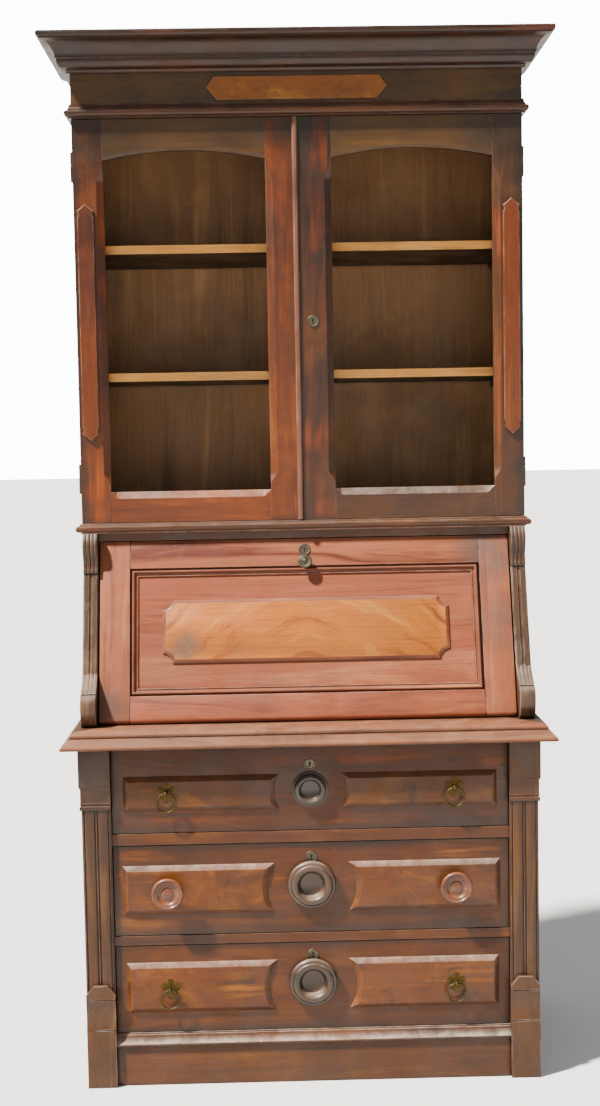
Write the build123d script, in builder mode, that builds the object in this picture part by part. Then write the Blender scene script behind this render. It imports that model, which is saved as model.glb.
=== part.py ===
from build123d import *
import math
import os

os.makedirs("parts", exist_ok=True)

# Slant-front secretary desk: three-drawer base, ledge, fall-front writing
# section and a glazed two-door bookcase under a deep cornice.
# Millimetres, +Z up, front faces -Y, origin on the floor at the middle of the
# overall footprint.

# ---------------------------------------------------------------- dimensions
W = 965.0                 # width of the case over the side boards
HW = W / 2
DEPTH_CASE = 482.0        # pilaster front to back of back boards
LEDGE_TIP = 37.0          # how far the ledge stands past the case
F = -(DEPTH_CASE + LEDGE_TIP) / 2 + LEDGE_TIP   # Y of the pilaster front
B = F + DEPTH_CASE        # Y of the back of the back boards
BACK_T = 12.0
BI = B - BACK_T           # inner face of the back boards
SIDE_T = 22.0             # lower side boards
XI = HW - SIDE_T          # inner face of the lower side boards

PIL_IN = 420.5            # inner edge of the pilasters
FRONT_HW = 419.5          # half width of the drawer fronts
PLINTH_TOP, PM_TOP = 88.0, 112.0
BLOCK_SEAM, BLOCK_CAP, BLOCK_TOP = 126.0, 190.0, 221.0
CAP_BOTTOM, CAP_STEP, CAP_BLOCK = 597.0, 616.0, 647.0
RAIL_LO = (302.5, 322.5)
RAIL_HI = (518.5, 543.0)
LEDGE_BOT, LEDGE_MID, LEDGE_TOP = 730.0, 751.0, 766.0

SLANT = 17.3              # lid leans back from the vertical, degrees
LID_T = 22.0
LID_HW = 447.0
LID_GAP = 0.3             # lid to ledge when it lies open
PIV_Y = F + 67.05         # lid pivot axis
PIV_Z = LEDGE_TOP + LID_GAP + LID_T / 2
LID_LEN = 388.7           # pivot axis to the top edge
CHEEK_IN = 449.5

WAIST_BOT, WAIST_TOP = 1171.5, 1194.0
UF = F + 152.0            # front plane of the bookcase doors and frieze
DOOR_T = 22.0
UC = UF + DOOR_T + 0.4    # front edges of the bookcase carcass
UXI = HW - 18.0           # inner face of the bookcase sides
DOOR_BOT, DOOR_TOP = 1195.0, 2057.0
FRIEZE_BOT, NECK_TOP, FRIEZE_TOP = 2058.0, 2088.0, 2152.0
TOP = 2229.0
MEET = 0.0                # line where the two doors meet

sn, cs = math.sin(math.radians(SLANT)), math.cos(math.radians(SLANT))


def block(x0, x1, y0, y1, z0, z1, mode=Mode.ADD):
    """A board or a cut given by its low and high corners."""
    with Locations(((x0 + x1) / 2, (y0 + y1) / 2, (z0 + z1) / 2)):
        return Box(x1 - x0, y1 - y0, z1 - z0, mode=mode)


def save(part, name):
    part.label = name
    export_step(part, "parts/" + name + ".step")


def save_group(parts, name):
    """Pieces that touch but are separate, kept as separate solids."""
    solids = [s for p in parts for s in p.solids()]
    group = Compound(solids)
    group.label = name
    export_step(group, "parts/" + name + ".step")


def yz(x):
    """Sketch plane whose local x is +Y and local y is +Z, facing +X."""
    return Plane(origin=(x, 0, 0), x_dir=(0, 1, 0), z_dir=(1, 0, 0))


def xz(y):
    """Sketch plane whose local x is +X and local y is +Z, facing -Y."""
    return Plane(origin=(0, y, 0), x_dir=(1, 0, 0), z_dir=(0, -1, 0))


def lid_pt(u, w):
    """(Y, Z) of a point u up the lid from its pivot and w out of its mid plane."""
    return (PIV_Y + u * sn - w * cs, PIV_Z + u * cs + w * sn)


# Plane lying in the middle of the lid: local x = +X, local y = up the lid.
LIDP = Plane(origin=(0, PIV_Y, PIV_Z), x_dir=(1, 0, 0), z_dir=(0, -cs, sn))

# ================================================================ LOWER CASE
with BuildPart() as base_sides:
    for s in (-1, 1):
        a, b = sorted((s * XI, s * HW))
        block(a, b, F + 22, BI, 0, LEDGE_BOT)
save(base_sides.part, "base_sides")

# five upright back boards, floor to the top of the desk section
back_parts = []
n_boards = 5
for i in range(n_boards):
    with BuildPart() as one_back:
        block(-HW + i * W / n_boards, -HW + (i + 1) * W / n_boards, BI, B, 12, WAIST_BOT)
    back_parts.append(one_back.part)
save_group(back_parts, "lower_back_boards")

with BuildPart() as base_bottom:
    block(-XI, XI, F + 22, BI, 94, PM_TOP)
save(base_bottom.part, "base_bottom")

# plinth board and the moulding that runs along its top between the blocks
with BuildPart() as plinth_board:
    block(-PIL_IN, PIL_IN, F + 1, F + 22, 0, PLINTH_TOP)
with BuildPart() as plinth_moulding:
    with BuildSketch(yz(-PIL_IN)):
        with BuildLine():
            Polyline((F + 22, PLINTH_TOP), (F - 5, PLINTH_TOP), (F - 6, PLINTH_TOP + 2),
                     (F - 6, PLINTH_TOP + 5), (F - 4, PLINTH_TOP + 7))
            RadiusArc((F - 4, PLINTH_TOP + 7), (F + 5, PLINTH_TOP + 20), 22)
            Polyline((F + 5, PLINTH_TOP + 20), (F + 7, PLINTH_TOP + 21), (F + 7, PM_TOP),
                     (F + 22, PM_TOP), (F + 22, PLINTH_TOP))
        make_face()
    extrude(amount=2 * PIL_IN)
save_group([plinth_board.part, plinth_moulding.part], "plinth")

# rails between the drawers, wider behind the pilasters
with BuildPart() as drawer_rails:
    for z0, z1 in (RAIL_LO, RAIL_HI):
        block(-PIL_IN, PIL_IN, F + 8.5, F + 22, z0, z1)
        block(-XI, XI, F + 22, F + 60, z0, z1)
save(drawer_rails.part, "drawer_rails")

# runners with side guides, one pair under each drawer (the bottom pair are
# guides lying on the bottom board)
runner_parts = []
for s in (-1, 1):
    for z in (RAIL_LO[1], RAIL_HI[1]):
        with BuildPart() as runner:
            a, b = sorted((s * 396, s * XI))
            block(a, b, F + 60, BI, z - 18, z)
            a, b = sorted((s * 420.5, s * XI))
            block(a, b, F + 60, BI, z, z + 20)
        runner_parts.append(runner.part)
    with BuildPart() as guide:
        a, b = sorted((s * 420.5, s * XI))
        block(a, b, F + 22, BI, PM_TOP, PM_TOP + 20)
    runner_parts.append(guide.part)
save_group(runner_parts, "drawer_runners")

# pilasters: two flat reeds with a groove between them, and a moulded capital
pil_parts = []
for s in (-1, 1):
    with BuildPart() as pilaster:
        a, b = sorted((s * PIL_IN, s * HW))
        block(a, b, F, F + 22, BLOCK_TOP, CAP_BOTTOM)
        c = s * (PIL_IN + HW) / 2
        block(c - 3, c + 3, F, F + 4, BLOCK_TOP, CAP_BOTTOM, Mode.SUBTRACT)
        for q in (-26, 26):
            block(c + q - 1, c + q + 1, F, F + 2.5, BLOCK_TOP, CAP_BOTTOM, Mode.SUBTRACT)
    pil_parts.append(pilaster.part)
    with BuildPart() as capital:
        with BuildSketch(yz(PIL_IN if s > 0 else -PIL_IN)):
            with BuildLine():
                Polyline((F + 22, CAP_BOTTOM), (F - 0.5, CAP_BOTTOM))
                RadiusArc((F - 0.5, CAP_BOTTOM), (F - 1.0, CAP_BOTTOM + 14), 7.6)
                Polyline((F - 1.0, CAP_BOTTOM + 14), (F - 1.5, CAP_STEP), (F - 1.5, CAP_BLOCK - 4),
                         (F - 4.5, CAP_BLOCK), (F - 4.5, LEDGE_BOT), (F + 22, LEDGE_BOT),
                         (F + 22, CAP_BOTTOM))
            make_face()
        extrude(amount=s * (HW - PIL_IN + 4.5))
        # the return narrows below the plain block
        a, b = sorted((s * (HW + 1.5), s * (HW + 6)))
        block(a, b, F - 12, F + 23, CAP_BOTTOM, CAP_BLOCK - 2, Mode.SUBTRACT)
    pil_parts.append(capital.part)
save_group(pil_parts, "pilasters")

# plinth blocks under the pilasters: coved face under a chamfered cap
with BuildPart() as plinth_blocks:
    for s in (-1, 1):
        c = s * (PIL_IN + HW) / 2
        h = (HW - PIL_IN) / 2
        with BuildSketch(xz(F + 22)):
            with BuildLine():
                Polyline((c - h, 0), (c + h, 0), (c + h, BLOCK_TOP - 19), (c + h - 16, BLOCK_TOP),
                         (c - h + 16, BLOCK_TOP), (c - h, BLOCK_TOP - 19), (c - h, 0))
            make_face()
        extrude(amount=31)
        # shallow cove across the face and a cut line above and below it
        cove_r = 130.0
        half = (BLOCK_CAP - BLOCK_SEAM) / 2
        off = math.sqrt(cove_r ** 2 - half ** 2)
        with Locations((c, F - 9 - off, (BLOCK_CAP + BLOCK_SEAM) / 2)):
            Cylinder(cove_r, 2 * h + 2, rotation=(0, 90, 0), mode=Mode.SUBTRACT)
        for z in (BLOCK_CAP, BLOCK_SEAM - 1.5):
            block(c - h - 1, c + h + 1, F - 10, F - 7, z, z + 1.5, Mode.SUBTRACT)
save(plinth_blocks.part, "plinth_blocks")

# ---------------------------------------------------------------- the ledge
# moulded on the front and both sides: (stand-off, height) up the edge
LEDGE_EDGE = [(32, 730), (36, 732), (37, 735), (35.5, 739), (31, 743.5), (26, 748.5), (21.5, 752), (16, 753),
              (16, 756), (18.8, 756), (18, 759), (14.5, 763), (9, 765.5), (4, LEDGE_TOP)]

with BuildPart() as ledge_board:
    with BuildSketch(yz(-HW - 60)):
        with BuildLine():
            Polyline(*[(F - o, z) for o, z in LEDGE_EDGE], (BI, LEDGE_TOP), (BI, LEDGE_BOT), close=True)
        make_face()
    extrude(amount=W + 120)
    with BuildSketch(xz(BI + 1)):
        with BuildLine():
            Polyline(*[(HW + o, z) for o, z in LEDGE_EDGE],
                     *[(-HW - o, z) for o, z in reversed(LEDGE_EDGE)], close=True)
        make_face()
    extrude(amount=BI - F + 60, mode=Mode.INTERSECT)
save(ledge_board.part, "ledge_board")

# ============================================================== DESK SECTION
EDGE_W = 6.0     # slanted front edge of the sides, out of the lid's mid plane


def slant_y(z, w):
    """Y of the plane w out of the lid's mid plane, at height z."""
    u = (z - PIV_Z - w * sn) / cs
    return PIV_Y + u * sn - w * cs


with BuildPart() as desk_sides:
    for s in (-1, 1):
        with BuildSketch(yz(s * XI)):
            with BuildLine():
                Polyline((slant_y(LEDGE_TOP, EDGE_W), LEDGE_TOP), (BI, LEDGE_TOP), (BI, WAIST_BOT),
                         (slant_y(WAIST_BOT, EDGE_W), WAIST_BOT), close=True)
            make_face()
        extrude(amount=s * SIDE_T)
# cheeks lining the sides beside the lid, bored for the lid's pivots
with BuildPart() as lid_cheeks:
    for s in (-1, 1):
        with BuildSketch(yz(s * CHEEK_IN)):
            with BuildLine():
                Polyline((slant_y(LEDGE_TOP, EDGE_W), LEDGE_TOP), (slant_y(LEDGE_TOP, EDGE_W) + 62, LEDGE_TOP),
                         (slant_y(WAIST_BOT, EDGE_W) + 62, WAIST_BOT), (slant_y(WAIST_BOT, EDGE_W), WAIST_BOT),
                         close=True)
            make_face()
        extrude(amount=s * (XI - CHEEK_IN))
    with Locations((0, PIV_Y, PIV_Z)):
        Cylinder(3.05, 2 * HW, rotation=(0, 90, 0), mode=Mode.SUBTRACT)
save_group([desk_sides.part, lid_cheeks.part], "desk_sides")

# scroll consoles standing on the ledge in front of the slanted side edges
def console_front(i):
    """Front outline of the upper block, the shaft and the lower block, set back by i."""
    top = [(F + 150 + i, WAIST_BOT), (F + 146 + i, 1166), (F + 140 + i, 1156), (F + 137 + i, 1145),
           (F + 138 + i, 1133), (F + 142 + i, 1120), (F + 145 + i, 1110), (F + 144 + i, 1100),
           (F + 141 + i, 1090), (F + 142 + i, 1086)]
    shaft = [(F + 149, 1085.8), (F + 149, 1082.2), (slant_y(1082, 17.3) + i, 1082), (slant_y(876, 17.3) + i, 876)]
    flare = [(F + 80 + i, 875), (F + 74 + i, 868), (F + 60 + i, 855), (F + 44 + i, 842), (F + 38 + i, 838.3)]
    return top, shaft, flare


FOOT = [(F + 44, 838), (F + 44, 836), (F + 33.5, 835.5), (F + 27, 825), (F + 24.4, 815), (F + 24, 806), (F + 26, 790),
        (F + 33, 774), (F + 42, LEDGE_TOP)]

with BuildPart() as consoles:
    for s in (-1, 1):
        # solid core, set back by the depth of the reeding
        t, sh, fl = console_front(2.6)
        with BuildSketch(yz(s * CHEEK_IN)):
            with BuildLine():
                Polyline(*t, *sh, *fl, *FOOT, (slant_y(LEDGE_TOP, EDGE_W), LEDGE_TOP),
                         (slant_y(WAIST_BOT, EDGE_W), WAIST_BOT), close=True)
            make_face()
        extrude(amount=s * (HW - CHEEK_IN))
        t, sh, fl = console_front(0.0)
        back = [(slant_y(LEDGE_TOP, EDGE_W), LEDGE_TOP), (slant_y(WAIST_BOT, EDGE_W), WAIST_BOT)]
        # two flat reeds on the shaft
        for x0, x1 in ((451, 463), (469, 481)):
            with BuildSketch(yz(s * x0)):
                with BuildLine():
                    Polyline(sh[2], sh[3], (sh[3][0] + 8, sh[3][1]), (sh[2][0] + 8, sh[2][1]), close=True)
                make_face()
            extrude(amount=s * (x1 - x0))
        # four reeds on the upper and lower blocks
        for k in range(4):
            x0 = CHEEK_IN + 0.6 + k * 8.2
            for seg in (t, fl):
                with BuildSketch(yz(s * x0)):
                    with BuildLine():
                        Polyline(*seg, (seg[-1][0] + 6, seg[-1][1]), *[(p[0] + 6, p[1]) for p in reversed(seg[:-1])],
                                 close=True)
                    make_face()
                extrude(amount=s * 6.2)
save(consoles.part, "consoles")

# inside: the board one writes on behind the lid, and the pigeonholes
with BuildPart() as writing_board:
    block(-XI, XI, F + 130, BI, LEDGE_TOP, LEDGE_TOP + 22)
    block(-CHEEK_IN, CHEEK_IN, F + 83, F + 130, LEDGE_TOP, LEDGE_TOP + 22)
save(writing_board.part, "writing_board")

PH_Y0, PH_Z0, PH_TOP, PH_MID = F + 300.0, LEDGE_TOP + 22, 1016.0, 900.0
ph_x = [-XI + 4, -230, 0, 230, XI - 4]
ph_parts = []
for x in ph_x:
    with BuildPart() as upright:
        block(x - 4, x + 4, PH_Y0, BI, PH_Z0, PH_TOP)
    ph_parts.append(upright.part)
for x0, x1 in zip(ph_x[:-1], ph_x[1:]):
    with BuildPart() as ph_shelf:
        block(x0 + 4, x1 - 4, PH_Y0 + 4, BI, PH_MID, PH_MID + 7)
    ph_parts.append(ph_shelf.part)
with BuildPart() as ph_top:
    block(-XI, XI, PH_Y0 - 6, BI, PH_TOP, PH_TOP + 10)
ph_parts.append(ph_top.part)
save_group(ph_parts, "pigeonholes")

# rail over the lid, with the stop the lid closes against
STOP_W = -(LID_T / 2 + 0.8)
with BuildPart() as fascia_rail:
    with BuildSketch(yz(-CHEEK_IN)):
        with BuildLine():
            Polyline((F + 170, 1153.5), (slant_y(1153.5, STOP_W), 1153.5), (slant_y(1130, STOP_W), 1130),
                     (F + 216, 1130), (F + 216, WAIST_BOT), (F + 170, WAIST_BOT), close=True)
        make_face()
    extrude(amount=2 * CHEEK_IN)
save(fascia_rail.part, "fascia_rail")

# ------------------------------------------------------------------ the lid
lid_parts = []
for s in (-1, 1):
    with BuildPart() as lid_stile:
        a, b = sorted((s * 381.0, s * LID_HW))
        with BuildSketch(LIDP):
            with BuildLine():
                Polyline((a, 0), (b, 0), (b, LID_LEN), (a, LID_LEN), close=True)
            make_face()
        extrude(amount=LID_T / 2, both=True)
        with Locations(((a + b) / 2, PIV_Y, PIV_Z)):
            Cylinder(LID_T / 2, b - a, rotation=(0, 90, 0))
        with Locations((s * 447, PIV_Y, PIV_Z)):
            Cylinder(3.0, 24, rotation=(0, 90, 0), mode=Mode.SUBTRACT)
    lid_parts.append(lid_stile.part)
with BuildPart() as lid_bottom_rail:
    with BuildSketch(LIDP):
        with BuildLine():
            Polyline((-381, 0), (381, 0), (381, 47.7), (-381, 47.7), close=True)
        make_face()
    extrude(amount=LID_T / 2, both=True)
    with Locations((0, PIV_Y, PIV_Z)):
        Cylinder(LID_T / 2, 762, rotation=(0, 90, 0))
lid_parts.append(lid_bottom_rail.part)
with BuildPart() as lid_top_rail:
    with BuildSketch(LIDP):
        with BuildLine():
            Polyline((-381, 327.7), (381, 327.7), (381, LID_LEN), (-381, LID_LEN), close=True)
        make_face()
    extrude(amount=LID_T / 2, both=True)
    # mortise for the lock, open to the back
    with BuildSketch(LIDP.offset(-LID_T / 2)):
        with Locations((0, 362)):
            Rectangle(50, 36)
    extrude(amount=LID_T / 2 + 2, mode=Mode.SUBTRACT)
    # keyhole from the front into the lock
    with BuildSketch(LIDP.offset(LID_T / 2)):
        with Locations((0, 363.7)):
            Circle(3.2)
    extrude(amount=-10, mode=Mode.SUBTRACT)
lid_parts.append(lid_top_rail.part)
save_group(lid_parts, "lid_frame")

with BuildPart() as lid_panel:
    with BuildSketch(LIDP.offset(-6.0)):
        with Locations((0, (47.7 + 327.7) / 2)):
            Rectangle(762, 280)
    extrude(amount=8.0)
save(lid_panel.part, "lid_panel")

# mitred moulding lining the recess around the panel, below the frame's face
with BuildPart() as lid_moulding:
    with BuildSketch(LIDP.offset(2.0)):
        with Locations((0, (47.7 + 327.7) / 2)):
            Rectangle(762, 280)
            Rectangle(728, 246, mode=Mode.SUBTRACT)
    extrude(amount=8.6)
    top_face = lid_moulding.faces().sort_by(Axis((0, 0, 0), (0, -cs, sn)))[-1]
    chamfer(top_face.inner_wires()[0].edges(), length=12, length2=6.5, reference=top_face)
save(lid_moulding.part, "lid_moulding")

# veneered tablet with cut corners in the middle of the panel
with BuildPart() as lid_tablet:
    with BuildSketch(LIDP.offset(2.0)):
        with Locations((0, (118 + 257) / 2)):
            Rectangle(622, 139)
        with Locations(*[(sx * 311, (118 + 257) / 2 + sy * 69.5) for sx in (-1, 1) for sy in (-1, 1)]):
            Circle(21, mode=Mode.SUBTRACT)
    extrude(amount=7.0)
save(lid_tablet.part, "lid_tablet")

with BuildPart() as lid_knob:
    with BuildSketch(Plane(origin=LIDP.from_local_coords(Vector(0, 334.7, LID_T / 2)), x_dir=(1, 0, 0),
                           z_dir=(0, -sn, -cs))):
        with BuildLine():
            Polyline((0, 0), (9, 0), (9, 1.5), (5, 3), (4.2, 6), (5, 9.5), (11, 10.5), (15, 12.5), (15.5, 14.5),
                     (14.2, 16.8), (11, 18), (9.5, 17.4), (8, 18.6), (5, 20.2), (0, 20.8), close=True)
        make_face()
    revolve(axis=Axis(LIDP.from_local_coords(Vector(0, 334.7, 0)), (0, -cs, sn)))
save(lid_knob.part, "lid_knob")

# keyhole ring on the face and the lock in its mortise behind
with BuildPart() as lid_lock_ring:
    with BuildSketch(LIDP.offset(LID_T / 2)):
        with Locations((0, 363.7)):
            Circle(13)
            Circle(3.2, mode=Mode.SUBTRACT)
    extrude(amount=2.2)
with BuildPart() as lid_lock_case:
    with BuildSketch(LIDP.offset(-LID_T / 2)):
        with Locations((0, 362)):
            Rectangle(50, 36)
    extrude(amount=10)
save_group([lid_lock_ring.part, lid_lock_case.part], "lid_lock")

with BuildPart() as lid_pivots:
    for s in (-1, 1):
        with Locations((s * 447.5, PIV_Y, PIV_Z)):
            Cylinder(3.0, 23, rotation=(0, 90, 0))
save(lid_pivots.part, "lid_pivots")

# =============================================================== WAIST BOARD
WAIST_EDGE = [(3, WAIST_BOT), (4, 1174.5), (7, 1175), (11, 1176.5), (13, 1179.5), (13, 1184.5), (9, 1188),
              (5, 1191.5), (2, WAIST_TOP)]

with BuildPart() as waist_board:
    with BuildSketch(yz(-HW - 60)):
        with BuildLine():
            Polyline(*[(UF - o, z) for o, z in WAIST_EDGE], (B, WAIST_TOP), (B, WAIST_BOT), close=True)
        make_face()
    extrude(amount=W + 120)
    with BuildSketch(xz(B + 1)):
        with BuildLine():
            Polyline(*[(HW + o, z) for o, z in WAIST_EDGE],
                     *[(-HW - o, z) for o, z in reversed(WAIST_EDGE)], close=True)
        make_face()
    extrude(amount=DEPTH_CASE + 60, mode=Mode.INTERSECT)
save(waist_board.part, "waist_board")

# ================================================================== BOOKCASE
HINGE_X, HINGE_Y, HINGE_R = HW + 3.5, UF + DOOR_T + 0.2, 3.2
HINGE_Z = (1290.0, 1960.0)
LEAF_H, LEAF_W, LEAF_T = 64.0, 14.0, 1.2

with BuildPart() as bookcase_sides:
    for s in (-1, 1):
        a, b = sorted((s * UXI, s * HW))
        block(a, b, UC, BI, WAIST_TOP, FRIEZE_TOP)
        for z in HINGE_Z:
            a, b = sorted((s * (HW - LEAF_W), s * HW))
            block(a, b, UC, UC + LEAF_T, z - LEAF_H / 2, z + LEAF_H / 2, Mode.SUBTRACT)
save(bookcase_sides.part, "bookcase_sides")

board_parts = []
for z0, z1 in ((WAIST_TOP, WAIST_TOP + 18), (FRIEZE_TOP - 18, FRIEZE_TOP), (2200, 2212)):
    with BuildPart() as cross_board:
        block(-UXI, UXI, UC, BI, z0, z1)
    board_parts.append(cross_board.part)
save_group(board_parts, "bookcase_boards")

BACK_X = [-HW, -386.0, -180.5, -100.5, 124.0, 204.0, HW]
bb_parts = []
for x0, x1 in zip(BACK_X[:-1], BACK_X[1:]):
    with BuildPart() as back_board:
        block(x0, x1, BI, B, WAIST_TOP, 2212)
    bb_parts.append(back_board.part)
save_group(bb_parts, "bookcase_back_boards")

SHELF_Z = (1500.5, 1775.0)
shelf_parts = []
for z in SHELF_Z:
    with BuildPart() as shelf:
        block(-UXI + 0.4, UXI - 0.4, UF + 30, BI - 1, z, z + 18)
    shelf_parts.append(shelf.part)
    for s in (-1, 1):
        with BuildPart() as cleat:
            a, b = sorted((s * (UXI - 12), s * UXI))
            block(a, b, UF + 40, BI - 12, z - 15, z)
        shelf_parts.append(cleat.part)
save_group(shelf_parts, "bookcase_shelves")

with BuildPart() as frieze_board:
    block(-HW, HW, UF, UC, FRIEZE_BOT, FRIEZE_TOP)
save(frieze_board.part, "frieze_board")

with BuildPart() as frieze_plaque:
    with BuildSketch(xz(UF)):
        with BuildLine():
            Polyline((-192, 2118), (-176, 2141), (176, 2141), (192, 2118), (170, 2093), (-170, 2093), close=True)
        make_face()
    extrude(amount=6)
save(frieze_plaque.part, "frieze_plaque")


NECK_EDGE = [(6, FRIEZE_BOT), (9, 2062), (13.3, 2066), (13.3, 2071), (9, 2076), (4, 2082), (3, NECK_TOP)]

with BuildPart() as neck_moulding:
    with BuildSketch(yz(-HW - 60)):
        with BuildLine():
            Polyline(*[(UF - o, z) for o, z in NECK_EDGE], (BI, NECK_TOP), (BI, FRIEZE_BOT), close=True)
        make_face()
    extrude(amount=W + 120)
    with BuildSketch(xz(BI + 1)):
        with BuildLine():
            Polyline(*[(HW + o, z) for o, z in NECK_EDGE],
                     *[(-HW - o, z) for o, z in reversed(NECK_EDGE)], close=True)
        make_face()
    extrude(amount=DEPTH_CASE + 60, mode=Mode.INTERSECT)
    block(-HW, HW, UF, B + 5, FRIEZE_BOT - 5, NECK_TOP + 5, Mode.SUBTRACT)
save(neck_moulding.part, "neck_moulding")


CORNICE_EDGE = [(6.5, FRIEZE_TOP), (8.5, 2157.5), (16, 2160), (21.5, 2164.5), (24.5, 2173), (25.5, 2180.5),
                (29, 2186), (31.5, 2194.5), (35, 2202.5), (41.5, 2208.5), (50, 2212.8), (57.5, 2215), (60, 2217),
                (62, 2222), (62, 2226), (60, TOP)]

with BuildPart() as cornice:
    with BuildSketch(yz(-HW - 90)):
        with BuildLine():
            Polyline(*[(UF - o, z) for o, z in CORNICE_EDGE], (BI, TOP), (BI, 2152), close=True)
        make_face()
    extrude(amount=W + 180)
    with BuildSketch(xz(BI + 1)):
        with BuildLine():
            Polyline(*[(HW + o, z) for o, z in CORNICE_EDGE],
                     *[(-HW - o, z) for o, z in reversed(CORNICE_EDGE)], close=True)
        make_face()
    extrude(amount=DEPTH_CASE + 90, mode=Mode.INTERSECT)
    block(-UXI, UXI, UC, B + 5, 2140, TOP + 5, Mode.SUBTRACT)
save(cornice.part, "cornice")

# ------------------------------------------------------------------- doors
GLASS_IN, GLASS_OUT = 70.5, 418.0          # sight opening, from the middle of the case
SILL, SPRING, CROWN = 1261.0, 1970.0, 1990.0
CH_W, CH_D = 15.5, 10.0                    # chamfer round the opening: width and depth
REB = 8.0                                  # glass rebate beyond the sight opening

for side, s in (("left", -1), ("right", 1)):
    a, b = sorted((s * 0.6, s * HW))
    g0, g1 = sorted((s * GLASS_IN, s * GLASS_OUT))
    with BuildPart() as door:
        block(a, b, UF, UF + DOOR_T, DOOR_BOT, DOOR_TOP)
        with BuildSketch(xz(UF + DOOR_T)):
            with BuildLine():
                Polyline((g0, SPRING), (g0, SILL), (g1, SILL), (g1, SPRING))
                ThreePointArc((g1, SPRING), ((g0 + g1) / 2, CROWN), (g0, SPRING))
            make_face()
        extrude(amount=DOOR_T, mode=Mode.SUBTRACT)
        front = door.faces().filter_by(Axis.Y).sort_by(Axis.Y)[0]
        chamfer(front.inner_wires()[0].edges(), length=CH_W, length2=CH_D, reference=front)
        block(g0 - REB, g1 + REB, UF + 14, UF + DOOR_T, SILL - REB, CROWN + REB, Mode.SUBTRACT)
        # hinge leaf mortises in the back of the hanging stile
        h0, h1 = sorted((s * (HW - LEAF_W), s * HW))
        for z in HINGE_Z:
            block(h0, h1, UF + DOOR_T - LEAF_T, UF + DOOR_T, z - LEAF_H / 2, z + LEAF_H / 2, Mode.SUBTRACT)
        if side == "right":
            with Locations((26.9, UF + DOOR_T / 2, 1623)):
                Cylinder(3.2, DOOR_T + 2, rotation=(90, 0, 0), mode=Mode.SUBTRACT)
    # stiles and rails as separate lengths of wood
    door_parts = []
    for c, d in ((a - 1, g0), (g0, g1), (g1, b + 1)):
        with BuildPart() as door_piece:
            add(door.part)
            block(c, d, UF - 5, UF + 40, DOOR_BOT - 5, DOOR_TOP + 5, Mode.INTERSECT)
        door_parts.append(door_piece.part)
    # beads that hold the glass in its rebate
    e0, e1, f0, f1 = g0 - REB, g1 + REB, SILL - REB, CROWN + REB
    for c, d, e, f in ((e0, e0 + 7, f0, f1), (e1 - 7, e1, f0, f1), (e0 + 7, e1 - 7, f0, f0 + 7),
                       (e0 + 7, e1 - 7, f1 - 7, f1)):
        with BuildPart() as glass_bead:
            block(c, d, UF + 17, UF + DOOR_T, e, f)
        door_parts.append(glass_bead.part)
    save_group(door_parts, side + "_door_frame")
    with BuildPart() as glass:
        block(e0, e1, UF + 14, UF + 17, f0, f1)
    save(glass.part, side + "_door_glass")

# half-round bead on the meeting edge of the left door
with BuildPart() as meeting_bead:
    block(MEET - 12.6, MEET - 0.6, UF - 5, UF, DOOR_BOT, DOOR_TOP)
    fillet(meeting_bead.edges().filter_by(Axis.Z).group_by(Axis.Y)[0], 4.5)
save(meeting_bead.part, "meeting_bead")

# flat strips with pointed, eared ends on the outer stiles
STRIP = [(0, 253.5), (9, 245), (18, 238.5), (15.5, 232), (15.5, 228), (18, 224)]
for side, s in (("left", -1), ("right", 1)):
    cx, cz = s * 457.0, 1625.5
    half = STRIP + [(x, -z) for x, z in reversed(STRIP)]
    pts = [(cx + x, cz + z) for x, z in half] + [(cx - x, cz + z) for x, z in reversed(half) if x > 0]
    with BuildPart() as strip:
        with BuildSketch(xz(UF)):
            with BuildLine():
                Polyline(*pts, close=True)
            make_face()
        extrude(amount=6.5)
        chamfer(strip.faces().sort_by(Axis.Y)[0].edges(), 1.4)
    save(strip.part, side + "_door_strip")

# door lock: ring round the keyhole and a rim lock on the back of the stile
with BuildPart() as rd_ring:
    with BuildSketch(xz(UF)):
        with Locations((26.9, 1623)):
            Circle(12.5)
            Circle(3.2, mode=Mode.SUBTRACT)
    extrude(amount=2.2)
with BuildPart() as rd_case:
    block(3, 51, UF + DOOR_T, UF + DOOR_T + 12, 1592, 1654)
save_group([rd_ring.part, rd_case.part], "right_door_lock")

# hinges: leaves let into the door backs and the case edges, on pinned knuckles
K = LEAF_H / 3
fixed = []
for side, s in (("left", -1), ("right", 1)):
    with BuildPart() as door_leaves:
        for z in HINGE_Z:
            a, b = sorted((s * (HW - LEAF_W), s * HW))
            block(a, b, UF + DOOR_T - LEAF_T, UF + DOOR_T, z - LEAF_H / 2, z + LEAF_H / 2)
            a, b = sorted((s * HW, s * HINGE_X))
            block(a, b, UF + DOOR_T - LEAF_T, UF + DOOR_T, z - K / 2 + 0.4, z + K / 2 - 0.4)
            with Locations((s * HINGE_X, HINGE_Y, z)):
                Cylinder(HINGE_R, K - 0.8)
                Cylinder(1.55, K + 2, mode=Mode.SUBTRACT)
    save(door_leaves.part, side + "_door_hinge_leaves")
    with BuildPart() as case_leaves:
        for z in HINGE_Z:
            a, b = sorted((s * (HW - LEAF_W), s * HW))
            block(a, b, UC, UC + LEAF_T, z - LEAF_H / 2, z + LEAF_H / 2)
            for zz in (z - K, z + K):
                a, b = sorted((s * HW, s * HINGE_X))
                block(a, b, UC, UC + LEAF_T, zz - K / 2, zz + K / 2)
                with Locations((s * HINGE_X, HINGE_Y, zz)):
                    Cylinder(HINGE_R, K)
                    Cylinder(1.5, K + 2, mode=Mode.SUBTRACT)
    fixed.append(case_leaves.part)
    with BuildPart() as pins:
        for z in HINGE_Z:
            with Locations((s * HINGE_X, HINGE_Y, z)):
                Cylinder(1.5, LEAF_H)
    fixed.append(pins.part)
save_group(fixed, "door_hinges_fixed")

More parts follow.
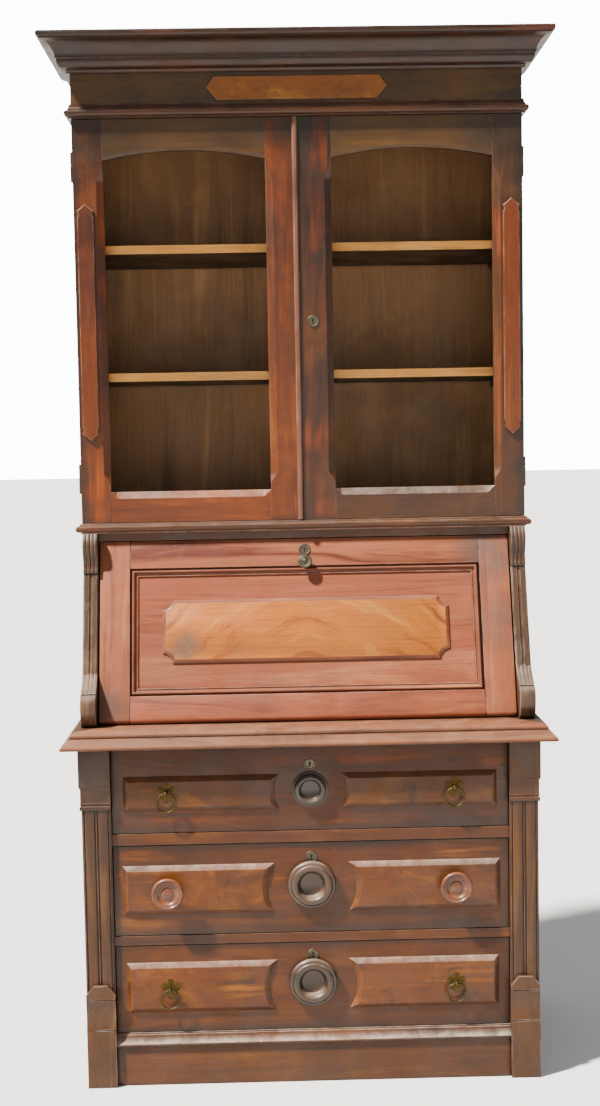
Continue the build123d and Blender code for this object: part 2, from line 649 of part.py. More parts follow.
# ================================================================== DRAWERS
DF = F + 9.5              # drawer front face
DRAWER_T = 22.0
BOX_HW, BOX_T, BOX_END = 419.0, 12.0, F + 430.0
PANEL_T = 8.0
PULL_X = 304.0
RING_R, RING_TUBE = 20.0, 2.2
EYE_Y = DF - PANEL_T - 11.0

#        name       front z        runner  panel inner x, outer x, z range     roundel z, radius  escutcheon z
DRAWERS = (
    ("top", 544.3, 728.3, RAIL_HI[1], 66.0, 394.5, 590.5, 665.0, 631.5, 684.6),
    ("middle", 323.8, 517.2, RAIL_LO[1], 79.0, 400.0, 369.0, 474.0, 428.0, 486.0),
    ("bottom", 113.3, 301.2, PM_TOP, 77.0, 396.0, 156.0, 264.5, 216.5, 273.6),
)
# turned roundels, half profiles (radius, height) from the rim inwards
ROUNDEL_SMALL = [(38.5, 0), (38.5, 2.6), (36.5, 4.8), (34.2, 5.6), (33.2, 9), (31.2, 13.5), (28, 16.4), (25, 16.4),
                 (21.8, 14), (20, 10.8), (17, 8.4), (10, 7), (0, 6.6)]
ROUNDEL_BIG = [(44.4, 0), (44.4, 2.6), (47.6, 4.8), (49, 8.5), (48.6, 12.5), (46.2, 16.8), (42, 19.4), (38.2, 18.8),
               (35.6, 16.6), (34.9, 15.2), (34.2, 16.3), (32.8, 16.3), (31.8, 15), (29, 14.4), (25.2, 7.2), (0, 6.6)]

KNOB = [(17, 0), (17, 2.5), (12, 5), (10.5, 9), (12, 14), (20, 18), (29, 20.5), (32.8, 23.5), (33.6, 26.5),
        (32.4, 29.4), (29, 30.6), (26, 29.4), (24.6, 28.2), (22.4, 28.6), (20.4, 27), (17.6, 22.2), (14.5, 20.6),
        (12.6, 21.4), (9, 25.2), (4.5, 26.8), (0, 27.2)]

for name, z0, z1, run, pin, pout, pz0, pz1, rz, ez in DRAWERS:
    with BuildPart() as front:
        block(-FRONT_HW, FRONT_HW, DF, DF + DRAWER_T, z0, z1)
        with Locations((0, DF + DRAWER_T / 2, ez)):
            Cylinder(3.2, DRAWER_T + 2, rotation=(90, 0, 0), mode=Mode.SUBTRACT)
    save(front.part, name + "_drawer_front")

    bz = run + 0.5
    yb0 = DF + DRAWER_T
    box = []
    for s in (-1, 1):
        with BuildPart() as side_board:
            a, b = sorted((s * (BOX_HW - BOX_T), s * BOX_HW))
            block(a, b, yb0, BOX_END, bz, z1 - 14)
        box.append(side_board.part)
    with BuildPart() as box_bottom:
        block(-BOX_HW + BOX_T, BOX_HW - BOX_T, yb0, BOX_END, bz + 5, bz + 12)
    box.append(box_bottom.part)
    with BuildPart() as box_back:
        block(-BOX_HW + BOX_T, BOX_HW - BOX_T, BOX_END - BOX_T, BOX_END, bz + 12, z1 - 24)
    box.append(box_back.part)
    save_group(box, name + "_drawer_box")

    # two raised, bevelled panels hollowed round the roundel between them
    ornament = []
    zc = (pz0 + pz1) / 2
    arc_r = math.hypot(pin, (pz1 - pz0) / 2)
    for s in (-1, 1):
        with BuildPart() as panel:
            with BuildSketch(xz(DF)):
                with BuildLine():
                    Polyline((s * pin, pz0), (s * pout, pz0), (s * pout, pz1), (s * pin, pz1))
                    ThreePointArc((s * pin, pz1), (s * arc_r, zc), (s * pin, pz0))
                make_face()
            extrude(amount=PANEL_T)
            face = panel.faces().sort_by(Axis.Y)[0]
            chamfer(face.edges(), length=12.5, length2=6.0, reference=face)
        ornament.append(panel.part)
    with BuildPart() as roundel:
        with BuildSketch(Plane(origin=(0, DF, rz), x_dir=(1, 0, 0), z_dir=(0, 0, 1))):
            with BuildLine():
                Polyline((0, 0), *[(x, -y) for x, y in (ROUNDEL_SMALL if name == "top" else ROUNDEL_BIG)], close=True)
            make_face()
        revolve(axis=Axis((0, DF, rz), (0, 1, 0)))
    ornament.append(roundel.part)
    save_group(ornament, name + "_drawer_ornament")

    # keyhole ring on the face and lock inside the front
    with BuildPart() as ring_plate:
        with BuildSketch(xz(DF)):
            with Locations((0, ez)):
                Circle(12.5 if name != "top" else 12.0)
                Circle(3.2, mode=Mode.SUBTRACT)
        extrude(amount=2.0)
    with BuildPart() as lock_case:
        block(-24, 24, DF + DRAWER_T, DF + DRAWER_T + 11, ez - 18, ez + 26)
    save_group([ring_plate.part, lock_case.part], name + "_drawer_lock")

    pf = DF - PANEL_T       # face of the raised panels
    if name == "middle":
        with BuildPart() as knobs:
            for s in (-1, 1):
                with BuildSketch(Plane(origin=(s * PULL_X, pf, zc), x_dir=(1, 0, 0), z_dir=(0, 0, 1))):
                    with BuildLine():
                        Polyline((0, 0), *[(x, -y) for x, y in KNOB], close=True)
                    make_face()
                revolve(axis=Axis((s * PULL_X, pf, zc), (0, 1, 0)))
        save(knobs.part, "middle_drawer_knobs")
    else:
        eye_z = zc + 4.0 if name == "top" else zc - 1.0
        # lobed back plates, each with a post and the eye its ring hangs in
        with BuildPart() as plates:
            for s in (-1, 1):
                x = s * PULL_X
                with BuildSketch(xz(pf)):
                    with Locations((x, eye_z)):
                        Circle(14)
                    with Locations((x - 13, eye_z + 7), (x + 13, eye_z + 7)):
                        Circle(7.5)
                    with Locations((x, eye_z + 16), (x, eye_z - 17)):
                        Circle(6.5)
                    with Locations((x - 9, eye_z - 10), (x + 9, eye_z - 10)):
                        Circle(5.5)
                extrude(amount=1.4)
                with Locations((x, (pf + EYE_Y + 4.4) / 2, eye_z)):
                    Cylinder(2.4, pf - EYE_Y - 4.4, rotation=(90, 0, 0))
                with Locations((x, EYE_Y, eye_z)):
                    Cylinder(5.6, 5.4, rotation=(0, 90, 0))
                    Cylinder(3.1, 6.4, rotation=(0, 90, 0), mode=Mode.SUBTRACT)
        save(plates.part, name + "_drawer_pull_plates")
        for side, s in (("left", -1), ("right", 1)):
            with BuildPart() as ring:
                with Locations(Location((s * PULL_X, EYE_Y, eye_z - RING_R), (90, 0, 0))):
                    Torus(RING_R, RING_TUBE)
            save(ring.part, name + "_drawer_" + side + "_ring")
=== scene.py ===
import bpy, bmesh, math, random
from mathutils import Vector, Matrix


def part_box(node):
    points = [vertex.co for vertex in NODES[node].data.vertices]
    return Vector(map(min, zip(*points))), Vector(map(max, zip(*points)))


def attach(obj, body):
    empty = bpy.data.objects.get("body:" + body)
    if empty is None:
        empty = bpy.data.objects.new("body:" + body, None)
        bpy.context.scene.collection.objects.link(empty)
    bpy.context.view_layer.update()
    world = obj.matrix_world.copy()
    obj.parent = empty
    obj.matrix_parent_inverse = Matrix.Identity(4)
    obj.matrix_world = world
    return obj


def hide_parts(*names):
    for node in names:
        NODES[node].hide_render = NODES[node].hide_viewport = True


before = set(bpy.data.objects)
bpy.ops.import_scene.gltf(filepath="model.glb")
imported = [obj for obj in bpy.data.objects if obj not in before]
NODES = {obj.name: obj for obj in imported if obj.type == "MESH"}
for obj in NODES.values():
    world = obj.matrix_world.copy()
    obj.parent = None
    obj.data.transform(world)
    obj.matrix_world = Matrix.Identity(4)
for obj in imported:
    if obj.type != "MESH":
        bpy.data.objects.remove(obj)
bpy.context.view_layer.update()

# ------------------------------------------------------------------ helpers
def new_mat(name):
    m = bpy.data.materials.new(name)
    m.use_nodes = True
    nt = m.node_tree
    for n in list(nt.nodes):
        nt.nodes.remove(n)
    out = nt.nodes.new("ShaderNodeOutputMaterial")
    bs = nt.nodes.new("ShaderNodeBsdfPrincipled")
    nt.links.new(bs.outputs[0], out.inputs[0])
    return m, nt, bs


def N(nt, kind, **kw):
    n = nt.nodes.new(kind)
    for k, v in kw.items():
        setattr(n, k, v)
    return n


def L(nt, a, b):
    nt.links.new(a, b)


def mixc(nt, fac, a, b, blend="MIX"):
    m = N(nt, "ShaderNodeMix", data_type="RGBA", blend_type=blend, clamp_factor=True)
    for sock, v in ((m.inputs[0], fac), (m.inputs[6], a), (m.inputs[7], b)):
        if isinstance(v, (int, float)):
            sock.default_value = v
        elif isinstance(v, (tuple, list)):
            sock.default_value = (*v[:3], 1)
        else:
            L(nt, v, sock)
    return m.outputs[2]


def math_n(nt, op, a, b=None, c=None, clamp=False):
    m = N(nt, "ShaderNodeMath", operation=op, use_clamp=clamp)
    for i, v in enumerate((a, b, c)):
        if v is None:
            continue
        if isinstance(v, (int, float)):
            m.inputs[i].default_value = v
        else:
            L(nt, v, m.inputs[i])
    return m.outputs[0]


def ramp(nt, fac, stops, interp="LINEAR"):
    r = N(nt, "ShaderNodeValToRGB")
    r.color_ramp.interpolation = interp
    e = r.color_ramp.elements
    while len(e) > 1:
        e.remove(e[-1])
    e[0].position = stops[0][0]
    e[0].color = (*stops[0][1], 1)
    for p, c in stops[1:]:
        x = e.new(p)
        x.color = (*c, 1)
    L(nt, fac, r.inputs[0])
    return r.outputs[0]


def framp(nt, fac, lo, hi, a=0.0, b=1.0):
    m = N(nt, "ShaderNodeMapRange", clamp=True, interpolation_type="SMOOTHSTEP")
    L(nt, fac, m.inputs[0])
    m.inputs[1].default_value = lo
    m.inputs[2].default_value = hi
    m.inputs[3].default_value = a
    m.inputs[4].default_value = b
    return m.outputs[0]


def srgb(h):
    h = h.lstrip("#")
    v = [int(h[i:i + 2], 16) / 255 for i in (0, 2, 4)]
    return tuple(x / 12.92 if x <= 0.04045 else ((x + 0.055) / 1.055) ** 2.4 for x in v)


_seed = [0]


def wood(name, axis, dark, mid, light, fig=1.0, blotch=0.6, wear=0.55, wear_col=None, dust=0.1, rough=0.42, scale=1.0,
         coat=0.12, burl=False, dirt=0.6, offset=None, streak=None, streak_amt=0.0, bump=1.0, tilt=0.0,
         seams=(), spots=(), olive=0.35, flame=False, body=None):
    """Planed, finished timber: growth-ring figure, open pores, blotchy finish, rubbed edges, dust that also paints a
    highlight on upward faces, painted shade in corners and hollows, and an optional painted shade on faces that do not
    look to the front.
    axis is the grain direction (0 X, 1 Y, 2 Z)."""
    m, nt, bs = new_mat(name)
    _seed[0] += 1
    tc = N(nt, "ShaderNodeTexCoord")
    off = offset if offset is not None else (_seed[0] * 1.37, _seed[0] * 0.71, _seed[0] * 2.03)
    base = N(nt, "ShaderNodeMapping")
    base.inputs["Location"].default_value = off
    base.inputs["Rotation"].default_value = (math.radians(tilt), 0, 0)
    L(nt, tc.outputs["Object"], base.inputs[0])
    P = base.outputs[0]

    def stretched(along, across, src=P):
        mp = N(nt, "ShaderNodeMapping")
        s = [across * scale] * 3
        s[axis] = along * scale
        mp.inputs["Scale"].default_value = s
        L(nt, src, mp.inputs[0])
        return mp.outputs[0]

    def noise(vec, sc, detail=4, rgh=0.55, dist=0.0):
        n = N(nt, "ShaderNodeTexNoise")
        n.inputs["Scale"].default_value = sc
        n.inputs["Detail"].default_value = detail
        n.inputs["Roughness"].default_value = rgh
        n.inputs["Distortion"].default_value = dist
        L(nt, vec, n.inputs["Vector"])
        return n

    # a slow warp bends the figure out of straight lines
    warp = noise(stretched(1.3, 5.0), 1.0, 2, 0.5)
    wv = N(nt, "ShaderNodeVectorMath", operation="MULTIPLY_ADD")
    L(nt, warp.outputs["Color"], wv.inputs[0])
    wv.inputs[1].default_value = (0.10 * fig,) * 3
    L(nt, P, wv.inputs[2])
    PW = wv.outputs[0]
    if flame:
        # crotch figure: feathers rising from the middle to both sides
        fx = N(nt, "ShaderNodeSeparateXYZ")
        L(nt, tc.outputs["Object"], fx.inputs[0])
        ax_n = math_n(nt, "ABSOLUTE", fx.outputs[0])
        rise = math_n(nt, "SUBTRACT", fx.outputs[2], math_n(nt, "MULTIPLY", math_n(nt, "POWER", ax_n, 1.35), -0.9))
        rise = math_n(nt, "ADD", rise, math_n(nt, "MULTIPLY", noise(P, 6, 4, 0.6).outputs[0], 0.085))
        cb = N(nt, "ShaderNodeCombineXYZ")
        L(nt, math_n(nt, "MULTIPLY", rise, 30.0), cb.inputs[2])
        L(nt, math_n(nt, "MULTIPLY", ax_n, 5.0), cb.inputs[0])
        fa = noise(cb.outputs[0], 1.0, 4, 0.62)
        fb = noise(P, 5, 4, 0.6, 1.2)
        figure = math_n(nt, "ADD", math_n(nt, "MULTIPLY", fa.outputs[0], 0.74), math_n(nt, "MULTIPLY", fb.outputs[0], 0.26))
    elif burl:
        n1 = noise(P, 9 * scale, 6, 0.62, 2.6)
        n2 = noise(stretched(6, 22, PW), 1.0, 5, 0.6, 1.2)
        figure = math_n(nt, "ADD", math_n(nt, "MULTIPLY", n1.outputs[0], 0.6), math_n(nt, "MULTIPLY", n2.outputs[0], 0.4))
    else:
        n1 = noise(stretched(2.0, 34, PW), 1.0, 5, 0.6, 0.5)
        n2 = noise(stretched(0.8, 9, PW), 1.0, 3, 0.55, 0.3)
        figure = math_n(nt, "ADD", math_n(nt, "MULTIPLY", n1.outputs[0], 0.58), math_n(nt, "MULTIPLY", n2.outputs[0], 0.42))
    col = ramp(nt, figure, [(0.35, dark), (0.465, mid), (0.54, mid), (0.67, light)])
    # fine fibre streaks and open pores
    fib = noise(stretched(5, 330), 1.0, 3, 0.7)
    col = mixc(nt, framp(nt, fib.outputs[0], 0.45, 0.75, 0.0, 0.38), col, tuple(c * 0.55 for c in dark))
    pore = noise(stretched(26, 900), 1.0, 2, 0.6)
    pf = framp(nt, pore.outputs[0], 0.60, 0.72)
    col = mixc(nt, math_n(nt, "MULTIPLY", pf, 0.5), col, tuple(c * 0.3 for c in dark))
    # the old finish: darker and lighter clouds
    bl = noise(P, 3.1, 4, 0.62)
    col = mixc(nt, framp(nt, bl.outputs[0], 0.46, 0.72, 0.0, blotch), col, tuple(c * 0.38 for c in dark))
    bl2 = noise(P, 7.5, 5, 0.65, 0.4)
    col = mixc(nt, framp(nt, bl2.outputs[0], 0.52, 0.75, 0.0, blotch * 0.6), col, light)
    if streak is not None:
        sn_ = noise(stretched(1.6, 26), 1.0, 4, 0.65, 0.6)
        pn_ = noise(P, 5.0, 3, 0.6)
        sf = math_n(nt, "MULTIPLY", framp(nt, sn_.outputs[0], 0.50, 0.66), framp(nt, pn_.outputs[0], 0.42, 0.62))
        col = mixc(nt, math_n(nt, "MULTIPLY", sf, streak_amt), col, streak)
    # slow change of tone: browner and greener where the old finish has gone dull
    ol = noise(P, 1.9, 4, 0.6, 0.5)
    dull = tuple(0.35 * c + 0.22 * (mid[0] * 0.3 + mid[1] * 0.55 + mid[2] * 0.15) * k for c, k in zip(mid, (1.05, 1.0, 0.72)))
    col = mixc(nt, framp(nt, ol.outputs[0], 0.48, 0.68, 0.0, olive), col, dull)
    raw = tc.outputs["Object"]
    for x, y, z, r, c, amt in spots:
        dd = N(nt, "ShaderNodeVectorMath", operation="DISTANCE")
        L(nt, raw, dd.inputs[0])
        dd.inputs[1].default_value = (x, y, z)
        sn2 = noise(P, 17, 5, 0.65, 0.6)
        fld = math_n(nt, "MULTIPLY", framp(nt, dd.outputs["Value"], r, r * 0.25), framp(nt, sn2.outputs[0], 0.30, 0.58, 0.25, 1.0))
        col = mixc(nt, math_n(nt, "MULTIPLY", fld, amt), col, c)
    # dark lines at the joints; an entry with a wide half-width darkens the board gradually towards its line
    if seams:
        sx = N(nt, "ShaderNodeSeparateXYZ")
        L(nt, raw, sx.inputs[0])
        for sm in seams:
            ax_, val, hwid = sm[:3]
            amt_ = sm[3] if len(sm) > 3 else 0.88
            d1 = math_n(nt, "ABSOLUTE", math_n(nt, "SUBTRACT", math_n(nt, "ABSOLUTE", sx.outputs[ax_]) if ax_ == 0 else sx.outputs[ax_], val))
            col = mixc(nt, framp(nt, d1, hwid, hwid * 0.35 if amt_ > 0.7 else 0.0, 0.0, amt_), col, (0.008, 0.006, 0.003))
    # painted shade: faces whose normal does not point to the front take the dark body colour
    if body is not None:
        g2 = N(nt, "ShaderNodeNewGeometry")
        s2 = N(nt, "ShaderNodeSeparateXYZ")
        L(nt, g2.outputs["True Normal"], s2.inputs[0])
        col = mixc(nt, framp(nt, s2.outputs[1], -0.55, -0.25), col, body)
    # edges rubbed through the finish
    geo = N(nt, "ShaderNodeNewGeometry")
    bev = N(nt, "ShaderNodeBevel", samples=4)
    bev.inputs["Radius"].default_value = 0.0028
    dt = N(nt, "ShaderNodeVectorMath", operation="DOT_PRODUCT")
    L(nt, bev.outputs[0], dt.inputs[0])
    L(nt, geo.outputs["Normal"], dt.inputs[1])
    edge = framp(nt, dt.outputs["Value"], 0.995, 0.90)
    ao = N(nt, "ShaderNodeAmbientOcclusion", samples=6)
    ao.inputs["Distance"].default_value = 0.014
    wn = noise(P, 21, 5, 0.7)
    convex = framp(nt, ao.outputs["AO"], 0.72, 0.97)
    ef = math_n(nt, "MULTIPLY", math_n(nt, "MULTIPLY", edge, convex), framp(nt, wn.outputs[0], 0.38, 0.62))
    wc = wear_col if wear_col is not None else tuple(min(1, c * 1.9) for c in light)
    col = mixc(nt, math_n(nt, "MULTIPLY", ef, wear), col, wc)
    # painted shade: darker in the corners and hollows, driven by ambient occlusion
    col = mixc(nt, framp(nt, ao.outputs["AO"], 0.78, 0.25, 0.0, dirt), col, (0.010, 0.006, 0.004))
    # thin dust and chalky bloom on faces that look up, also a painted highlight: upward faces turn paler as if lit from
    # above
    sep = N(nt, "ShaderNodeSeparateXYZ")
    L(nt, geo.outputs["Normal"], sep.inputs[0])
    up = framp(nt, sep.outputs[2], 0.15, 0.95)
    dn = noise(P, 34, 5, 0.75)
    df = math_n(nt, "MULTIPLY", up, framp(nt, dn.outputs[0], 0.35, 0.7, 0.3, 1.0))
    col = mixc(nt, math_n(nt, "MULTIPLY", df, dust), col, (0.44, 0.33, 0.26))
    # flecks and nicks
    vo = N(nt, "ShaderNodeTexVoronoi")
    vo.inputs["Scale"].default_value = 95
    L(nt, P, vo.inputs["Vector"])
    vm = noise(P, 16, 3, 0.6)
    nick = math_n(nt, "MULTIPLY", framp(nt, vo.outputs["Distance"], 0.12, 0.05), framp(nt, vm.outputs[0], 0.58, 0.66))
    col = mixc(nt, math_n(nt, "MULTIPLY", nick, 0.55), col, wc)
    L(nt, col, bs.inputs["Base Color"])
    # roughness: shellac worn matt in places
    rn = noise(P, 12, 4, 0.65)
    rg = math_n(nt, "ADD", framp(nt, rn.outputs[0], 0.3, 0.7, rough - 0.10, rough + 0.14),
                math_n(nt, "MULTIPLY", math_n(nt, "ADD", ef, df), 0.2), clamp=True)
    L(nt, rg, bs.inputs["Roughness"])
    bs.inputs["Coat Weight"].default_value = coat
    bs.inputs["Coat Roughness"].default_value = 0.28
    bs.inputs["Specular IOR Level"].default_value = 0.3
    # bump: pores, fibres and a slightly uneven planed surface
    h = math_n(nt, "ADD", math_n(nt, "MULTIPLY", pf, -0.5), math_n(nt, "MULTIPLY", fib.outputs[0], 0.35))
    h = math_n(nt, "ADD", h, math_n(nt, "MULTIPLY", nick, -0.9))
    h = math_n(nt, "ADD", h, math_n(nt, "MULTIPLY", bl2.outputs[0], 0.9))
    bp = N(nt, "ShaderNodeBump")
    bp.inputs["Strength"].default_value = 0.32 * bump
    bp.inputs["Distance"].default_value = 0.0011
    L(nt, h, bp.inputs["Height"])
    b2 = N(nt, "ShaderNodeBevel", samples=4)
    b2.inputs["Radius"].default_value = 0.0012
    L(nt, b2.outputs[0], bp.inputs["Normal"])
    L(nt, bp.outputs[0], bs.inputs["Normal"])
    return m


def metal(name, base, patina, rough=0.42, patina_amt=0.55, hi=None):
    m, nt, bs = new_mat(name)
    tc = N(nt, "ShaderNodeTexCoord")
    n = N(nt, "ShaderNodeTexNoise")
    n.inputs["Scale"].default_value = 90
    n.inputs["Detail"].default_value = 6
    n.inputs["Roughness"].default_value = 0.7
    L(nt, tc.outputs["Object"], n.inputs["Vector"])
    n2 = N(nt, "ShaderNodeTexNoise")
    n2.inputs["Scale"].default_value = 420
    n2.inputs["Detail"].default_value = 3
    L(nt, tc.outputs["Object"], n2.inputs["Vector"])
    ao = N(nt, "ShaderNodeAmbientOcclusion", samples=6)
    ao.inputs["Distance"].default_value = 0.006
    pf = framp(nt, n.outputs[0], 0.38, 0.66)
    col = mixc(nt, math_n(nt, "MULTIPLY", pf, patina_amt), base, patina)
    geo = N(nt, "ShaderNodeNewGeometry")
    bev = N(nt, "ShaderNodeBevel", samples=4)
    bev.inputs["Radius"].default_value = 0.0012
    dt = N(nt, "ShaderNodeVectorMath", operation="DOT_PRODUCT")
    L(nt, bev.outputs[0], dt.inputs[0])
    L(nt, geo.outputs["Normal"], dt.inputs[1])
    edge = framp(nt, dt.outputs["Value"], 0.995, 0.9)
    col = mixc(nt, math_n(nt, "MULTIPLY", edge, 0.6), col, hi or tuple(min(1, c * 1.8) for c in base))
    col = mixc(nt, framp(nt, ao.outputs["AO"], 0.8, 0.3, 0.0, 0.8), col, (0.012, 0.012, 0.008))
    L(nt, col, bs.inputs["Base Color"])
    bs.inputs["Metallic"].default_value = 1.0
    L(nt, framp(nt, n2.outputs[0], 0.3, 0.7, rough - 0.08, rough + 0.14), bs.inputs["Roughness"])
    bp = N(nt, "ShaderNodeBump")
    bp.inputs["Strength"].default_value = 0.2
    bp.inputs["Distance"].default_value = 0.0004
    L(nt, n.outputs[0], bp.inputs["Height"])
    L(nt, bp.outputs[0], bs.inputs["Normal"])
    return m


def glass_mat(name):
    m, nt, bs = new_mat(name)
    tc = N(nt, "ShaderNodeTexCoord")
    n = N(nt, "ShaderNodeTexNoise")
    n.inputs["Scale"].default_value = 7
    n.inputs["Detail"].default_value = 2
    L(nt, tc.outputs["Object"], n.inputs["Vector"])
    bp = N(nt, "ShaderNodeBump")
    bp.inputs["Strength"].default_value = 0.06
    bp.inputs["Distance"].default_value = 0.004
    L(nt, n.outputs[0], bp.inputs["Height"])
    L(nt, bp.outputs[0], bs.inputs["Normal"])
    n2 = N(nt, "ShaderNodeTexNoise")
    n2.inputs["Scale"].default_value = 5
    n2.inputs["Detail"].default_value = 6
    L(nt, tc.outputs["Object"], n2.inputs["Vector"])
    L(nt, framp(nt, n2.outputs[0], 0.4, 0.75, 0.03, 0.12), bs.inputs["Roughness"])
    bs.inputs["Base Color"].default_value = (0.86, 0.90, 0.87, 1)
    bs.inputs["Transmission Weight"].default_value = 1.0
    bs.inputs["IOR"].default_value = 1.05
    bs.inputs["Specular IOR Level"].default_value = 0.5
    return m


# ---------------------------------------------------------------- materials
C = srgb
PAL = dict(
    case=dict(dark=C("#2c1006"), mid=C("#54240d"), light=C("#824018")),
    pil=dict(dark=C("#30160a"), mid=C("#5a2e14"), light=C("#865024")),
    plinth=dict(dark=C("#321708"), mid=C("#5c3012"), light=C("#86501f")),
    door=dict(dark=C("#3c1608"), mid=C("#74300c"), light=C("#a85018")),
    doorb=dict(dark=C("#34160a"), mid=C("#602c10"), light=C("#904a1c")),
    doortop=dict(dark=C("#281408"), mid=C("#4c2c10"), light=C("#74441c")),
    lid=dict(dark=C("#742c16"), mid=C("#bc643c"), light=C("#d88a58")),
    lidm=dict(dark=C("#5c2814"), mid=C("#a0532f"), light=C("#cc7c50")),
    front=dict(dark=C("#3c1a08"), mid=C("#70350f"), light=C("#a0561c")),
    moulded=dict(dark=C("#2a1409"), mid=C("#4e2a12"), light=C("#7c461e")),
    corn=dict(dark=C("#1a0e06"), mid=C("#331b0c"), light=C("#5c3216")),
    ledge=dict(dark=C("#4c2410"), mid=C("#8a4c2c"), light=C("#b87850")),
    frieze=dict(dark=C("#241409"), mid=C("#46290f"), light=C("#6c4018")),
    panel=dict(dark=C("#3a1a08"), mid=C("#70360e"), light=C("#a65c1c")),
    cons=dict(dark=C("#2a170d"), mid=C("#4e3424"), light=C("#7e5e46")),
    burl=dict(dark=C("#8a400c"), mid=C("#c87222"), light=C("#dc963c")),
    plaq=dict(dark=C("#703406"), mid=C("#a85c10"), light=C("#d08824")),
    turned=dict(dark=C("#2c1c12"), mid=C("#4e3626"), light=C("#785c46")),
    # painted shade: a darker copy of the turned colours for the top drawer's roundel under the ledge
    turned_d1_shaded=dict(dark=C("#1e1610"), mid=C("#35291f"), light=C("#524234")),
    knob=dict(dark=C("#4c2614"), mid=C("#784226"), light=C("#9c6844")),
    strip=dict(dark=C("#461a06"), mid=C("#78340c"), light=C("#a05418")),
    second=dict(dark=C("#5a3a20"), mid=C("#744a2a"), light=C("#8e5e34")),
    lidin=dict(dark=C("#4a1f0e"), mid=C("#7c3c1e"), light=C("#a66038")),
    bead=dict(dark=C("#5a3420"), mid=C("#8a5a44"), light=C("#b08670")),
    shelf=dict(dark=C("#8a5018"), mid=C("#c07c34"), light=C("#e4a85c")),
)


PAL["lidtop"] = dict(PAL["lid"])
PAL["lidv"] = dict(PAL["lid"])
PAL["pblk"] = dict(PAL["pil"])
PAL["doorlow"] = dict(PAL["door"])
PAL["doorlowb"] = dict(PAL["doorb"])
# painted shade: the top drawer's front and panel get darker copies of the drawer colours, toned further down below, for
# the shade under the ledge
PAL["front_d1_shaded"] = dict(PAL["front"])
PAL["panel_d1_shaded"] = dict(PAL["panel"])
# second is toned lighter and greyer, partly a painted reflection: the pale sheen of the glass over the interior is put
# into the interior wood
TONE = dict(corn=(0.86, 0.8, 0.6), frieze=(1.7, 2.1, 2.2), doortop=(1.3, 1.6, 1.7), door=(0.83, 1.02, 1.04), doorb=(0.66, 0.92, 0.98),
            doorlow=(1.0, 1.2, 1.12), doorlowb=(0.62, 0.88, 0.94), second=(1.4, 1.5, 1.9), lid=(0.63, 0.61, 0.68), lidv=(0.70, 0.76, 0.84),
            lidtop=(0.72, 0.84, 1.0), ledge=(0.84, 0.98, 1.04), front_d1_shaded=(0.48, 0.51, 0.33), panel_d1_shaded=(0.68, 0.82, 0.72), front=(0.50, 0.55, 0.42),
            panel=(0.84, 0.94, 0.9), plinth=(0.9, 0.94, 0.8), pil=(0.70, 0.84, 0.80), pblk=(0.86, 1.15, 1.15), cons=(1.0, 1.0, 0.95),
            burl=(0.90, 0.86, 0.92), lidm=(0.66, 0.68, 0.72), strip=(0.84, 0.9, 0.9))
for k_, t_ in TONE.items():
    PAL[k_] = {q: tuple(min(0.9, c * f) for c, f in zip(v_, t_)) for q, v_ in PAL[k_].items()}


def mk(name, axis, pal, **kw):
    return wood(name, axis, **PAL[pal], **kw)


RUB = C("#a8806a")
SLANT = 17.3
M = {}
M["case_v"] = mk("walnut_case_upright", 2, "case", wear_col=RUB)
M["case_h"] = mk("walnut_case_across", 0, "case", wear_col=RUB)
# the doors get dark patches at their tops and round the hinges, and the stiles darken in a wide band towards the door
# top
DSP = [(sx_ * 0.455, -0.07, 2.03, 0.16, (0.016, 0.012, 0.006), 0.75) for sx_ in (-1, 1)] + [(sx_ * 0.48, -0.07, z_, 0.035, (0.018, 0.013, 0.007), 0.7) for sx_ in (-1, 1) for z_ in (1.22, 1.30, 1.38, 1.92)] + [(sx_ * 0.04, -0.07, 2.04, 0.09, (0.016, 0.012, 0.006), 0.6) for sx_ in (-1, 1)]
DSE = [(0, 0.0705, 0.0010), (0, 0.418, 0.0010)]
M["door_v"] = mk("walnut_door_upright", 2, "door", streak=C("#c05a14"), streak_amt=0.55, spots=DSP, seams=[(0, 0.4825, 0.020, 0.6), (2, 2.057, 0.11, 0.55), (2, 1.195, 0.016, 0.5), (0, 0.0006, 0.010, 0.5)], wear_col=RUB)
M["door_hb"] = mk("walnut_door_across_b", 0, "doorlowb", dust=0.8, seams=DSE, wear_col=RUB)
M["door_h"] = mk("walnut_door_across", 0, "doorlow", dust=0.8, streak=C("#c05c16"), streak_amt=0.6, seams=DSE, wear_col=RUB)
LIDSP = [(0.40, -0.06, 1.12, 0.10, (0.085, 0.066, 0.055), 0.7), (0.44, -0.12, 0.97, 0.09, (0.085, 0.066, 0.055), 0.5), (-0.43, -0.16, 0.80, 0.07, (0.075, 0.06, 0.05), 0.65),
         (-0.10, -0.09, 0.84, 0.10, (0.11, 0.07, 0.05), 0.35)]
M["lid_h"] = mk("walnut_lid_across", 0, "lid", blotch=0.42, seams=[(0, 0.381, 0.0017)], spots=LIDSP, fig=1.4, wear_col=C("#e0b8a0"), rough=0.5, dust=0.15, tilt=SLANT)
M["lid_top"] = mk("walnut_lid_top_rail", 0, "lidtop", blotch=0.2, seams=[(0, 0.381, 0.0017)], spots=LIDSP, fig=1.4, wear_col=C("#e0b8a0"), rough=0.5, dust=0.1, tilt=SLANT)
M["lid_v"] = mk("walnut_lid_upright", 2, "lidv", blotch=0.42, seams=[(0, 0.381, 0.0017)], spots=LIDSP, fig=1.4, wear_col=C("#e0b8a0"), rough=0.5, dust=0.15, tilt=SLANT)
